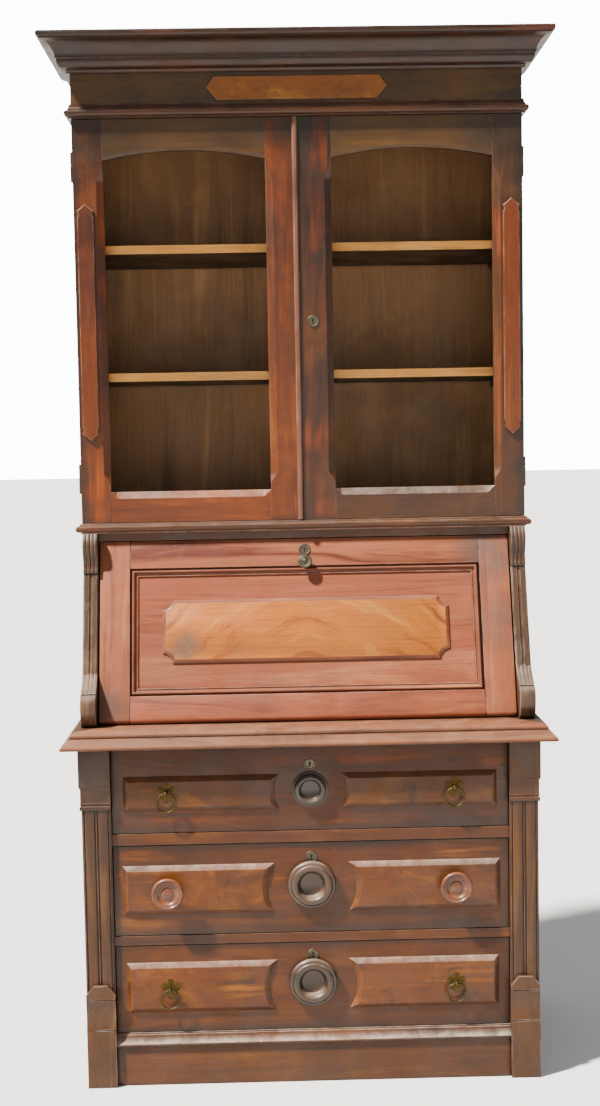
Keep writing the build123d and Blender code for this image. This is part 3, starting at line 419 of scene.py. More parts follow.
M["front_h"] = mk("walnut_drawer_front", 0, "front", seams=[(2, 0.32380, 0.022, 0.55), (2, 0.51720, 0.018, 0.6), (0, 0.4195, 0.030, 0.55), (2, 0.32380, 0.0018), (2, 0.51720, 0.0018), (0, 0.4195, 0.0018)], streak=C("#b86a24"), streak_amt=0.4, wear_col=RUB)
M["panel_h"] = mk("walnut_drawer_panel", 0, "panel", streak=C("#cc7c1c"), streak_amt=0.6, burl=True, blotch=0.8, wear=0.6, dust=0.85, wear_col=C("#c9a488"), scale=0.9)
M["moulded_h"] = mk("walnut_moulding", 0, "moulded", wear=0.8, wear_col=C("#b98f7a"))
M["moulded_v"] = mk("walnut_console", 2, "cons", wear=0.9, wear_col=C("#b8ac98"), dust=0.3, olive=0.6)
M["frieze"] = mk("walnut_frieze", 0, "frieze", wear_col=RUB)
M["lidfield_h"] = mk("walnut_lid_field", 0, "lid", blotch=0.42, wear_col=C("#e0b8a0"), rough=0.5, dust=0.1, tilt=SLANT, fig=1.4, spots=LIDSP)
M["burl"] = mk("burl_tablet", 0, "burl", flame=True, blotch=0.25, olive=0.2, spots=[(-0.265, -0.11, 0.925, 0.055, (0.12, 0.09, 0.07), 0.75), (-0.14, -0.10, 0.90, 0.05, (0.16, 0.09, 0.04), 0.4)], wear_col=C("#d8a878"), coat=0.4, rough=0.36, dirt=0.4)
M["plaque"] = mk("burl_plaque", 0, "plaq", burl=True, blotch=0.2, wear_col=C("#d8a878"), coat=0.4, rough=0.36, dirt=0.4)
M["second_v"] = mk("pine_upright", 2, "second", coat=0.05, rough=0.6, wear=0.2)
M["second_h"] = mk("pine_across", 0, "second", coat=0.05, rough=0.6, wear=0.2)
M["second_y"] = mk("pine_depth", 1, "second", coat=0.05, rough=0.6, wear=0.2)
# painted shade: the shelf tops and undersides take a dark colour, so only the front edges read light
M["shelf_h"] = mk("shelf_across", 0, "shelf", body=C("#2e1c0e"), coat=0.1, rough=0.5, wear=0.9, wear_col=C("#e0b070"))
M["brass"] = metal("old_brass", C("#4e422a"), C("#2c2a1c"), hi=C("#94865c"), patina_amt=0.75, rough=0.5)
M["iron"] = metal("dark_iron", C("#4a423a"), C("#2a211b"), rough=0.55)
M["glass"] = glass_mat("window_glass")

M["corn_h"] = mk("walnut_cornice", 0, "corn", wear=0.6, wear_col=C("#a07a64"), olive=0.6, streak=C("#6e3414"), streak_amt=0.5)
M["corn_y"] = mk("walnut_cornice_returns", 1, "corn", wear=0.6, wear_col=C("#a07a64"), olive=0.6)
M["pblock_v"] = mk("walnut_plinth_block", 2, "pblk", wear=1.0, wear_col=C("#b8a298"), olive=0.7)
M["rail_h"] = mk("walnut_drawer_rail", 0, "front", dirt=0.2, wear_col=RUB)
M["bead_v"] = mk("walnut_meeting_bead", 2, "bead", wear=0.9, wear_col=C("#c8ac9c"))
M["lid_in_h"] = mk("walnut_lid_inside", 0, "lidin", wear_col=RUB, tilt=SLANT)
M["lid_in_v"] = mk("walnut_lid_inside_v", 2, "lidin", wear_col=RUB, tilt=SLANT)
M["plinth_m"] = mk("walnut_plinth_moulding", 0, "plinth", dust=1.0, wear=0.9, wear_col=C("#c8b09c"))
M["moulded_y"] = mk("walnut_moulding_returns", 1, "moulded", wear=0.8, wear_col=C("#b98f7a"))
M["ledge_h"] = mk("walnut_ledge", 0, "ledge", wear=1.0, wear_col=C("#e0b090"), dust=0.12, streak=C("#7a2c10"), streak_amt=0.5, fig=1.3)
M["plinth_h"] = mk("walnut_plinth", 0, "plinth", wear=0.8, wear_col=RUB)
M["pil_v"] = mk("walnut_pilaster", 2, "pil", wear_col=RUB)
M["lid_m"] = mk("walnut_lid_mould", 0, "lidm", blotch=0.3, wear=0.45, wear_col=C("#d8b49e"), rough=0.5)
M["lid_mv"] = mk("walnut_lid_mould_v", 2, "lidm", blotch=0.3, wear=0.45, wear_col=C("#d8b49e"), rough=0.5, tilt=SLANT)
M["door_v2"] = mk("walnut_door_upright_b", 2, "doorb", streak=C("#a84c18"), streak_amt=0.5, spots=DSP, seams=[(0, 0.4825, 0.020, 0.6), (2, 2.057, 0.11, 0.55), (2, 1.195, 0.016, 0.5), (0, 0.0006, 0.010, 0.5)], wear_col=RUB)
M["door_top"] = mk("walnut_door_top", 0, "doortop", seams=DSE, spots=DSP, wear_col=RUB)
M["front_h2"] = mk("walnut_drawer_front_b", 0, "front", seams=[(2, 0.11330, 0.022, 0.55), (2, 0.30120, 0.018, 0.6), (0, 0.4195, 0.030, 0.55), (2, 0.11330, 0.0018), (2, 0.30120, 0.0018), (0, 0.4195, 0.0018)], streak=C("#c4641c"), streak_amt=0.4, wear_col=RUB)
# painted shade: darker front and panel copies for the top drawer, which lies in the ledge's shade
M["front_h3"] = mk("walnut_drawer_front_d1_shaded", 0, "front_d1_shaded", seams=[(2, 0.54430, 0.022, 0.55), (2, 0.72830, 0.018, 0.6), (0, 0.4195, 0.030, 0.55), (2, 0.54430, 0.0018), (2, 0.72830, 0.0018), (0, 0.4195, 0.0018)], streak=C("#c4641c"), streak_amt=0.4, wear_col=RUB)
M["panel_h2"] = mk("walnut_drawer_panel_d1_shaded", 0, "panel_d1_shaded", burl=True, blotch=0.8, wear=0.3, wear_col=C("#c9a488"), scale=0.9)
M["turned"] = mk("walnut_turned", 0, "turned", wear=0.6, wear_col=C("#cdb8aa"), dust=0.5, coat=0.3, rough=0.34)
# painted shade: the top drawer's roundel takes a darker copy of the turned finish
M["turned_dark"] = mk("walnut_turned_dark", 0, "turned_d1_shaded", wear=0.4, wear_col=C("#8a7468"), dust=0.15, coat=0.4, rough=0.34)
M["knob"] = mk("walnut_knob", 0, "knob", wear=0.5, wear_col=C("#b98a68"), dust=0.08, coat=0.4, rough=0.34)
M["strip_v"] = mk("walnut_strip", 2, "strip", blotch=0.8, dirt=0.9, streak=C("#5a1e06"), streak_amt=0.5, wear=0.6, wear_col=C("#d8a888"))
M["brass_dark"] = metal("dark_brass", C("#5c5444"), C("#35322a"), rough=0.52, hi=C("#a09680"))
M["plate"] = metal("worn_plate", C("#54401f"), C("#2f2918"), rough=0.58, patina_amt=0.8, hi=C("#86683a"))
# painted shade: near-black keyhole floor standing for the dark hole behind the plate
kh, nt_k, bs_k = new_mat("keyhole_painted_shade")
tcn = nt_k.nodes.new("ShaderNodeTexNoise")
tcn.inputs["Scale"].default_value = 60
nt_k.links.new(ramp(nt_k, tcn.outputs[0], [(0.3, (0.004, 0.003, 0.002)), (0.7, (0.012, 0.009, 0.007))]), bs_k.inputs["Base Color"])
bs_k.inputs["Roughness"].default_value = 0.9
M["keyhole"] = kh

USE = {
    "base_sides": "case_v", "plinth": "case_h", "pilasters": "case_v", "plinth_blocks": "pblock_v", "desk_sides": "case_v",
    "bookcase_sides": "case_v", "left_door_frame": "door_v", "right_door_frame": "door_v", "meeting_bead": "bead_v",
    "fascia_rail": "moulded_h", "writing_board": "case_h", "left_door_strip": "strip_v", "right_door_strip": "strip_v",
    "ledge_board": "moulded_h", "consoles": "moulded_v", "waist_board": "moulded_h", "cornice": "moulded_h",
    "neck_moulding": "moulded_h", "drawer_rails": "rail_h", "frieze_board": "frieze",
    "lid_frame": "lid_h", "lid_panel": "lid_h", "lid_moulding": "lid_h", "lid_tablet": "burl", "frieze_plaque": "plaque",
    "lower_back_boards": "second_v", "base_bottom": "second_h", "drawer_runners": "second_y", "pigeonholes": "second_h",
    "bookcase_boards": "second_h", "bookcase_back_boards": "second_v", "bookcase_shelves": "shelf_h",
    "lid_pivots": "iron", "left_door_glass": "glass", "right_door_glass": "glass",
}
for d in ("top", "middle", "bottom"):
    USE[d + "_drawer_front"] = "front_h"
    USE[d + "_drawer_box"] = "second_y"
    USE[d + "_drawer_ornament"] = "panel_h"
    USE[d + "_drawer_lock"] = "brass"
for n in ("lid_knob", "lid_lock", "right_door_lock", "left_door_hinge_leaves", "right_door_hinge_leaves",
          "door_hinges_fixed", "top_drawer_pull_plates", "bottom_drawer_pull_plates", "top_drawer_left_ring",
          "top_drawer_right_ring", "bottom_drawer_left_ring", "bottom_drawer_right_ring"):
    USE[n] = "brass"
USE["middle_drawer_knobs"] = "moulded_h"
for n in ("left_door_hinge_leaves", "right_door_hinge_leaves", "door_hinges_fixed"):
    USE[n] = "iron"

for name, ob in NODES.items():
    ob.data.materials.clear()
    ob.data.materials.append(M[USE[name]])


def make(name, verts, faces, mats, body, slot, face_mats=None, smooth=None, replaces=(), bevel=0.0, merge=True):
    """verts in mm. smooth is the angle in degrees under which faces blend; bevel is a real edge rounding in mm."""
    bm = bmesh.new()
    vs = [bm.verts.new((x * 0.001, y * 0.001, z * 0.001)) for x, y, z in verts]
    for k, f in enumerate(faces):
        idx = []
        for a in f:
            if a not in idx:
                idx.append(a)
        if len(idx) < 3:
            continue
        try:
            fc = bm.faces.new([vs[a] for a in idx])
        except ValueError:
            continue
        fc.material_index = face_mats[k] if face_mats else 0
    if merge:
        bmesh.ops.remove_doubles(bm, verts=bm.verts, dist=2e-6)
    loose = [v for v in bm.verts if not v.link_faces]
    bmesh.ops.delete(bm, geom=loose, context="VERTS")
    bmesh.ops.recalc_face_normals(bm, faces=bm.faces)
    if bevel:
        es = [e for e in bm.edges if len(e.link_faces) == 2 and e.calc_face_angle(0) > math.radians(28)]
        bmesh.ops.bevel(bm, geom=es, offset=bevel * 0.001, segments=2, profile=0.6, affect="EDGES", clamp_overlap=True)
        bmesh.ops.recalc_face_normals(bm, faces=bm.faces)
    if smooth:
        for f in bm.faces:
            f.smooth = True
        for e in bm.edges:
            if len(e.link_faces) != 2 or e.calc_face_angle(0) > math.radians(smooth):
                e.smooth = False
    me = bpy.data.meshes.new(name)
    bm.to_mesh(me)
    bm.free()
    for m in (mats if isinstance(mats, (list, tuple)) else [mats]):
        me.materials.append(m)
    ob = bpy.data.objects.new(name, me)
    bpy.context.scene.collection.objects.link(ob)
    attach(ob, body)
    if replaces:
        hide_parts(*replaces)
    return ob


def board(name, x0, x1, y0, y1, z0, z1, mat, body, slot, bevel=0.6, **kw):
    v = [(x, y, z) for x in (x0, x1) for y in (y0, y1) for z in (z0, z1)]
    f = [(0, 1, 3, 2), (4, 6, 7, 5), (0, 4, 5, 1), (2, 3, 7, 6), (0, 2, 6, 4), (1, 5, 7, 3)]
    return make(name, v, f, mat, body, slot, bevel=bevel, smooth=40, **kw)


def prism(name, outline, to3, d0, d1, mat, body, slot, bevel=0.6, smooth=35, **kw):
    """outline of (a, b) points pushed from d0 to d1; to3(a, b, d) gives the point."""
    n = len(outline)
    v = [to3(a, b, d0) for a, b in outline] + [to3(a, b, d1) for a, b in outline]
    f = [tuple(range(n))[::-1], tuple(range(n, 2 * n))]
    f += [(k, (k + 1) % n, n + (k + 1) % n, n + k) for k in range(n)]
    return make(name, v, f, mat, body, slot, bevel=bevel, smooth=smooth, **kw)


def spline(pts, n=6):
    """Catmull-Rom through the points, n steps per span."""
    out = []
    P = [pts[0]] + list(pts) + [pts[-1]]
    for k in range(1, len(P) - 2):
        p0, p1, p2, p3 = P[k - 1], P[k], P[k + 1], P[k + 2]
        for t in range(n):
            t /= n
            out.append(tuple(0.5 * (2 * p1[c] + (p2[c] - p0[c]) * t + (2 * p0[c] - 5 * p1[c] + 4 * p2[c] - p3[c]) * t * t
                                    + (3 * p1[c] - p0[c] - 3 * p2[c] + p3[c]) * t ** 3) for c in range(len(p1))))
    out.append(tuple(pts[-1]))
    return out


def chain(*parts):
    """Joins curved and straight runs, dropping repeated points."""
    out = []
    for p in parts:
        for q in p:
            if not out or abs(out[-1][0] - q[0]) + abs(out[-1][1] - q[1]) > 1e-4:
                out.append(tuple(q))
    return out


def lathe(name, prof, origin, mat, body, slot, axis=(0, -1, 0), seg=96, smooth=38, **kw):
    """prof is (radius, height along axis)."""
    ax = Vector(axis).normalized()
    a = Vector((1, 0, 0)) if abs(ax.x) < 0.9 else Vector((0, 1, 0))
    b = ax.cross(a).normalized()
    a = b.cross(ax).normalized()
    o = Vector(origin)
    v, f = [], []
    for r, h in prof:
        for k in range(seg):
            t = 2 * math.pi * k / seg
            v.append(tuple(o + ax * h + (a * math.cos(t) + b * math.sin(t)) * max(r, 0.0)))
    for i in range(len(prof) - 1):
        for k in range(seg):
            k2 = (k + 1) % seg
            f.append((i * seg + k, i * seg + k2, (i + 1) * seg + k2, (i + 1) * seg + k))
    if prof[0][0] > 0.01:
        f.append(tuple(range(seg)))
    if prof[-1][0] > 0.01:
        f.append(tuple(range((len(prof) - 1) * seg, len(prof) * seg)))
    return make(name, v, f, mat, body, slot, smooth=smooth, **kw)


def run_moulding(name, prof, hx, yf, yb, mats, body, slot, inner=None, **kw):
    """A moulding along the front and both sides with mitred corners. prof is (stand-off, z) from top or bottom;
    closed by the inner stand-off if given, else by the last and first points."""
    pts = list(prof)
    if inner is not None:
        pts = [(inner, pts[0][1])] + pts + [(inner, pts[-1][1])]
    n = len(pts)
    v = []
    for o, z in pts:
        v += [(-(hx + o), yb, z), (-(hx + o), yf - o, z), (hx + o, yf - o, z), (hx + o, yb, z)]
    f, fm = [], []
    for i in range(n):
        j = (i + 1) % n
        for c in range(3):
            f.append((i * 4 + c, i * 4 + c + 1, j * 4 + c + 1, j * 4 + c))
            fm.append(0 if c == 1 else 1)
    f.append(tuple(i * 4 for i in range(n)))
    fm.append(1)
    f.append(tuple(i * 4 + 3 for i in range(n)))
    fm.append(1)
    return make(name, v, f, mats, body, slot, face_mats=fm, smooth=34, **kw)


def mm(node):
    lo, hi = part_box(node)
    return [c * 1000 for c in lo], [c * 1000 for c in hi]


HW = 482.5
F = mm("ledge_board")[0][1] + 37.0          # pilaster front plane
BI = mm("base_bottom")[1][1]                # inner face of the back boards
UF = mm("frieze_board")[0][1]               # front plane of the bookcase
DF = mm("top_drawer_front")[0][1]           # drawer fronts
LT = mm("ledge_board")[1][2]                # top of the ledge
SL = math.radians(17.3)
sn, cs = math.sin(SL), math.cos(SL)
PIV_Y, PIV_Z = F + 67.05, LT + 11.3
LID_LEN = 388.7


def LP(x, u, w):
    """Lid coordinates: across, up the lid from its pivot, out of its middle plane."""
    return (x, PIV_Y + u * sn - w * cs, PIV_Z + u * cs + w * sn)


def slant_y(z, w):
    u = (z - PIV_Z - w * sn) / cs
    return PIV_Y + u * sn - w * cs


# -------------------------------------------------------------------- cornice
CORN = chain([(0, 2152), (6.5, 2152), (6.5, 2155)], spline([(6.5, 2155), (8.5, 2158.2), (14, 2160), (19, 2162.5), (22.6, 2167), (24.2, 2172), (24.6, 2178)], 5),
             [(24.6, 2178), (27.4, 2180), (27.4, 2184)], spline([(27.4, 2184), (28.4, 2189), (31.5, 2196), (36.5, 2203.5), (44, 2209.5), (52, 2212.6), (56.5, 2213.4)], 6),
             [(56.5, 2213.4), (56.5, 2216), (60.5, 2216)], spline([(60.5, 2216), (61.9, 2219), (62, 2223.5), (61, 2227.4), (58.5, 2229)], 4))
run_moulding("cornice_mould", CORN, HW, UF, BI, [M["corn_h"], M["corn_y"]], "case", "moulded", inner=-18, replaces=("cornice",))
NECK = chain([(0, 2058), (5.5, 2058), (5.5, 2060.5)], spline([(5.5, 2060.5), (9.5, 2062), (12.6, 2064.6), (13.3, 2068.5), (12.6, 2072.2), (9.4, 2074.6), (6.6, 2075.6)], 5),
             [(6.6, 2075.6), (6.6, 2078)], spline([(6.6, 2078), (4.6, 2081), (3.6, 2085), (3.4, 2088)], 4))
run_moulding("neck_mould", NECK, HW, UF, BI, [M["moulded_h"], M["moulded_y"]], "case", "moulded", inner=0, replaces=("neck_moulding",))
WAIST = chain([(-60, 1171.5), (3, 1171.5), (3, 1174.5), (5.5, 1174.5)], spline([(5.5, 1174.5), (9.5, 1175.4), (12.3, 1178), (13, 1181.8), (12, 1185.4), (9.5, 1187.6)], 5),
              [(9.5, 1187.6), (6.4, 1188.4)], spline([(6.4, 1188.4), (5.2, 1191), (3, 1193), (1, 1194)], 4), [(-60, 1194)])
wm = run_moulding("waist_mould", WAIST, HW, UF, BI + 12, [M["moulded_h"], M["moulded_y"]], "case", "moulded")
wm.visible_shadow = False
board("waist_core", -HW + 60.1, HW - 60.1, UF + 60.1, BI + 12, 1171.6, 1193.9, M["second_h"], "case", "second", replaces=("waist_board",))

# ---------------------------------------------------------------------- ledge
LEDGE = chain([(-60, 730), (30.5, 730)], spline([(30.5, 730), (35.2, 730.9), (37, 733.6), (36.4, 736.8), (34, 739.6)], 5),
              spline([(34, 739.6), (30, 742.6), (26.6, 746.6), (23.2, 750.4), (18.6, 752.6), (16, 753)], 5), [(16, 755.6), (18.6, 755.6)],
              spline([(18.6, 755.6), (18.8, 758.2), (17, 761.4), (13.4, 764), (9, 765.6), (4, 766)], 5), [(-60, 766)])
run_moulding("ledge_mould", LEDGE, HW, F, BI, [M["ledge_h"], M["moulded_y"]], "case", "moulded")
board("ledge_core", -HW + 60.1, HW - 60.1, F + 60.1, BI, 730.1, 765.9, M["ledge_h"], "case", "moulded", replaces=("ledge_board",))

# ------------------------------------------------------------- plinth and base
board("plinth_face", -420.5, 420.5, F + 1, F + 22, 0, 88, M["plinth_h"], "case", "case", bevel=0.8)
PM = chain([(22, 88), (-5, 88)], spline([(-5, 88), (-6, 89.6), (-5.8, 92), (-3.6, 93.6)], 4), spline([(-3.6, 93.6), (0.4, 97.4), (3.6, 102.6), (5.4, 107.6)], 5),
           [(5.4, 109), (8, 109), (8, 112), (22, 112)])
prism("plinth_mould", PM, lambda a, b, d: (d, F + a, b), -420.5, 420.5, M["plinth_m"], "case", "moulded", bevel=0, replaces=("plinth",))

# ------------------------------------------------------------------- pilasters
def reed_section(x0, x1, y0, yb, reeds, depth, rnd=1.6):
    """Outline (x, y) of a face with raised reeds given as (from, to)."""
    pts = [(x0, yb), (x0, y0 + depth)]
    for a, b in reeds:
        pts += [(a, y0 + depth), (a, y0 + rnd), (a + rnd * 0.35, y0 + rnd * 0.35), (a + rnd, y0), (b - rnd, y0),
                (b - rnd * 0.35, y0 + rnd * 0.35), (b, y0 + rnd), (b, y0 + depth)]
    return pts + [(x1, y0 + depth), (x1, yb)]


for s, nm in ((-1, "left"), (1, "right")):
    x0, x1 = sorted((s * 420.5, s * 482.5))
    c = (x0 + x1) / 2
    sec = reed_section(x0, x1, F, F + 22, [(x0 + 2.6, x0 + 4.6), (x0 + 7.0, c - 4.2), (c - 1.4, c + 1.4), (c + 4.2, x1 - 7.0), (x1 - 4.6, x1 - 2.6)], 3.8, 0.9)
    prism(nm + "_pilaster", sec, lambda a, b, d: (a, b, d), 202.05, 596.8, M["pil_v"], "case", "case", bevel=0.0, smooth=50)
    ob = board(nm + "_pilaster_block", x0 - (4.5 if s < 0 else 0), x1 + (4.5 if s > 0 else 0), F - 4.5, F + 22, 647, 730, M["pil_v"], "case", "case", bevel=1.2)
    cap = chain([(0, 597), (0.6, 597)], spline([(0.6, 597), (2.6, 598.6), (3.3, 602), (2.6, 605.4), (0.8, 607)], 5), [(0.8, 608.6)],
                spline([(0.8, 608.6), (2.0, 610), (2.2, 612), (1.2, 613.8)], 4), [(1.4, 616), (1.4, 641)], spline([(1.4, 641), (2.0, 644.4), (4.2, 647)], 4), [(0, 647)])
    v, f = [], []
    xo, xi = (x1, x0) if s > 0 else (x0, x1)
    for o, z in cap:
        v += [(xi, F - o, z), (xo + s * o, F - o, z), (xo + s * o, F + 22, z), (xi, F + 22, z)]
    n = len(cap)
    for i in range(n - 1):
        for c4 in range(4):
            f.append((i * 4 + c4, i * 4 + (c4 + 1) % 4, (i + 1) * 4 + (c4 + 1) % 4, (i + 1) * 4 + c4))
    f += [(0, 1, 2, 3), tuple((n - 1) * 4 + k for k in range(4))]
    make(nm + "_capital", v, f, M["pil_v"], "case", "case", smooth=34, replaces=("pilasters",) if s > 0 else ())

# -------------------------------------------------------------------- consoles
TOPB = spline([(150, 1171.4), (146.5, 1166.5), (140.5, 1156.5), (137, 1145), (138, 1133), (142, 1120), (144.8, 1110), (144, 1100), (141, 1090), (142, 1086)], 4)
FLARE = spline([(80, 875.4), (74.5, 868), (60.5, 855), (46, 843.6), (38, 838.4)], 5)
FOOTP = spline([(35.5, 835.6), (29.5, 829), (25.6, 820), (24, 807), (25.6, 792), (32, 776), (41, 766.1)], 5)
for s, nm in ((-1, "left"), (1, "right")):
    xa, xb = 449.6, 482.4
    nx = 67
    xs = [xa + (xb - xa) * k / (nx - 1) for k in range(nx)]

    def flute(t, k, d):
        """k round reeds across the width, d deep between them."""
        q = (t * k) % 1.0
        e = abs(q - 0.5) * 2
        return d * (1 - math.sqrt(max(0.0, 1 - e ** 3.2)))

    def shaft(t):
        m_ = abs(t - 0.5)
        if m_ < 0.045:
            return 2.6
        if m_ < 0.085:
            return 2.6 * (1 - (m_ - 0.045) / 0.04) ** 0.6
        if m_ > 0.455:
            return 2.6
        if m_ > 0.42:
            return 2.6 * ((m_ - 0.42) / 0.035) ** 1.5
        return 0.0

    rows = []      # (y', z, kind)
    rows += [(y, z, "top") for y, z in TOPB]
    rows += [(148.6, 1085.4, "flat"), (148.6, 1082.6, "flat")]
    za, zb = 1082.2, 876.2
    for k in range(13):
        z = za + (zb - za) * k / 12
        rows.append((slant_y(z, 17.3) - F, z, "shaft"))
    rows += [(y, z, "low") for y, z in FLARE]
    rows += [(44, 838.0, "flat"), (44, 836.0, "flat")]
    rows += [(y, z, "foot") for y, z in FOOTP]
    v, f = [], []
    for y, z, kd in rows:
        for x in xs:
            t = (x - xa) / (xb - xa)
            e = min(t, 1 - t) * (xb - xa)
            rd = 1.0 - min(1.0, e / 1.0)
            dy = {"top": flute(t, 4, 2.6), "low": flute(t, 4, 2.4), "shaft": shaft(t), "foot": 0.0, "flat": 0.0}[kd] + rd * 0.8
            v.append((s * x, F + y + dy, z))
    nr = len(rows)
    for i in range(nr - 1):
        for k in range(nx - 1):
            f.append((i * nx + k, i * nx + k + 1, (i + 1) * nx + k + 1, (i + 1) * nx + k))
    # sides, closed to the slanted edge behind
    b0 = len(v)
    for y, z, kd in rows:
        yb = slant_y(z, 6.0)
        v.append((s * xa, yb, z))
        v.append((s * xb, yb, z))
    for i in range(nr - 1):
        f.append((i * nx, (i + 1) * nx, b0 + 2 * (i + 1), b0 + 2 * i))
        f.append((i * nx + nx - 1, b0 + 2 * i + 1, b0 + 2 * (i + 1) + 1, (i + 1) * nx + nx - 1))
        f.append((b0 + 2 * i, b0 + 2 * (i + 1), b0 + 2 * (i + 1) + 1, b0 + 2 * i + 1))
    f.append(tuple(range(nx)) + (b0 + 1, b0))
    f.append(tuple((nr - 1) * nx + k for k in range(nx)) + (b0 + 2 * (nr - 1) + 1, b0 + 2 * (nr - 1)))
    make(nm + "_console", v, f, M["moulded_v"], "case", "moulded", smooth=40, replaces=("consoles",) if s > 0 else ())

# ------------------------------------------------------------------------ lid
rnd = [(11 * math.sin(-a), 11 * math.cos(a)) for a in [math.pi * k / 14 for k in range(15)]]
rnd = [(-11 * math.sin(math.pi * k / 14), 11 * math.cos(math.pi * k / 14)) for k in range(15)]
for s, nm in ((-1, "left"), (1, "right")):
    a, b = sorted((s * 381.0, s * 447.0))
    prism(nm + "_lid_stile", rnd + [(LID_LEN, -11), (LID_LEN, 11)], lambda u, w, d: LP(d, u, w), a + 0.25, b - 0.25, M["lid_v"], "lid", "lid", bevel=0.5)
prism("lid_bottom_rail", rnd + [(47.7, -11), (47.7, 11)], lambda u, w, d: LP(d, u, w), -380.75, 380.75, M["lid_h"], "lid", "lid", bevel=0.5)
prism("lid_top_rail", [(327.7, -11), (LID_LEN, -11), (LID_LEN, 11), (327.7, 11)], lambda u, w, d: LP(d, u, w), -380.75, 380.75, M["lid_top"], "lid", "lid", bevel=0.5, replaces=("lid_frame",))
u0, u1 = 47.7, 327.7
board_v = [LP(x, u, w) for x in (-380.7, 380.7) for u in (u0, u1) for w in (-6, 2)]
make("lid_field", board_v, [(0, 1, 3, 2), (4, 6, 7, 5), (0, 4, 5, 1), (2, 3, 7, 6), (0, 2, 6, 4), (1, 5, 7, 3)], M["lidfield_h"], "lid", "lid", replaces=("lid_panel",))
MP = chain([(0, 2), (0, 2.8), (3.0, 2.8)], spline([(3.0, 2.8), (3.5, 6.4), (5.2, 8.8), (7.6, 9.2), (9.6, 7.8), (10.4, 5.8)], 5), [(10.4, 4.9)],
           spline([(10.4, 4.9), (12, 4.0), (14.6, 3.6)], 4), [(15.0, 4.9), (17.2, 4.6), (17.7, 2)])
for nm, run in (("top", 0), ("bottom", 1), ("left", 2), ("right", 3)):
    v, f = [], []
    for sd, w in MP:
        if run == 0:
            v += [LP(-381 + sd, u1 - sd, w), LP(381 - sd, u1 - sd, w)]
        elif run == 1:
            v += [LP(-381 + sd, u0 + sd, w), LP(381 - sd, u0 + sd, w)]
        elif run == 2:
            v += [LP(-381 + sd, u0 + sd, w), LP(-381 + sd, u1 - sd, w)]
        else:
            v += [LP(381 - sd, u0 + sd, w), LP(381 - sd, u1 - sd, w)]
    n = len(MP)
    f = [(2 * k, 2 * k + 1, 2 * ((k + 1) % n) + 1, 2 * ((k + 1) % n)) for k in range(n)]
    f += [tuple(2 * k for k in range(n)), tuple(2 * k + 1 for k in range(n))]
    make("lid_mould_" + nm, v, f, M["lid_m"] if run < 2 else M["lid_mv"], "lid", "lid", smooth=34, replaces=("lid_moulding",) if run == 0 else ())


def cut_rect(hx, hu, c, n=10, step=1.4, sag=0.2):
    """Rectangle outline with a shallow hollow across each corner between small square shoulders."""
    out = []
    for sx_, su_, flip in ((1, 1, True), (-1, 1, False), (-1, -1, True), (1, -1, False)):
        a = (hx - step * 0.2, hu - c)
        b = (hx - c, hu - step * 0.2)
        arc = [(hx, hu - c)]
        p0, p1 = (hx - step, hu - c), (hx - c, hu - step)
        for k in range(n + 1):
            t = k / n
            q = 4 * t * (1 - t) * sag * c
            arc.append((p0[0] + (p1[0] - p0[0]) * t - q * 0.7071, p0[1] + (p1[1] - p0[1]) * t - q * 0.7071))
        arc.append((hx - c, hu))
        arc = [(sx_ * x, su_ * u) for x, u in arc]
        out += arc if flip else arc[::-1]
    return out


uc = 187.5
o1, o2, o3 = cut_rect(311, 69.5, 22), cut_rect(309.6, 68.1, 21.6), cut_rect(303.5, 62.0, 19.4)
v, n = [], len(o1)
for ring, w in ((o1, 2.0), (o1, 4.6), (o2, 5.6), (o3, 8.6)):
    v += [LP(x, uc + u, w) for x, u in ring]
f = []
for lvl in range(3):
    f += [(lvl * n + k, lvl * n + (k + 1) % n, (lvl + 1) * n + (k + 1) % n, (lvl + 1) * n + k) for k in range(n)]
f.append(tuple(3 * n + k for k in range(n)))
f.append(tuple(k for k in range(n))[::-1])
fm = [1] * (3 * n) + [0, 1]
make("lid_burl_tablet", v, f, [M["burl"], M["lid_m"]], "lid", "burl", face_mats=fm, smooth=30, replaces=("lid_tablet",))

# the inside of the lid never saw the light, so it keeps its darker finish
for nm in ("left_lid_stile", "right_lid_stile", "lid_bottom_rail", "lid_top_rail", "lid_field"):
    me = bpy.data.objects[nm].data
    me.materials.append(M["lid_in_v" if "stile" in nm else "lid_in_h"])
    for p in me.polygons:
        if p.normal.dot(Vector((0, -cs, sn))) < -0.8:
            p.material_index = 1

# --------------------------------------------------------------------- doors
def ogee(t):
    t = max(0.0, min(1.0, t))
    return t * t * (3 - 2 * t)


DB, DT_ = 1195.0, 2057.0
SILL, SPRING, CROWN = 1261.0, 1970.0, 1990.0
GI, GO = 70.5, 418.0
gc = (GI + GO) / 2
hw_ = (GO - GI) / 2


def arc_z(x, spring, crown):
    """Height of the arch over |X| = x."""
    h = crown - spring
    R_ = (hw_ * hw_ + h * h) / (2 * h)
    return crown - R_ + math.sqrt(max(0.0, R_ * R_ - (x - gc) ** 2))


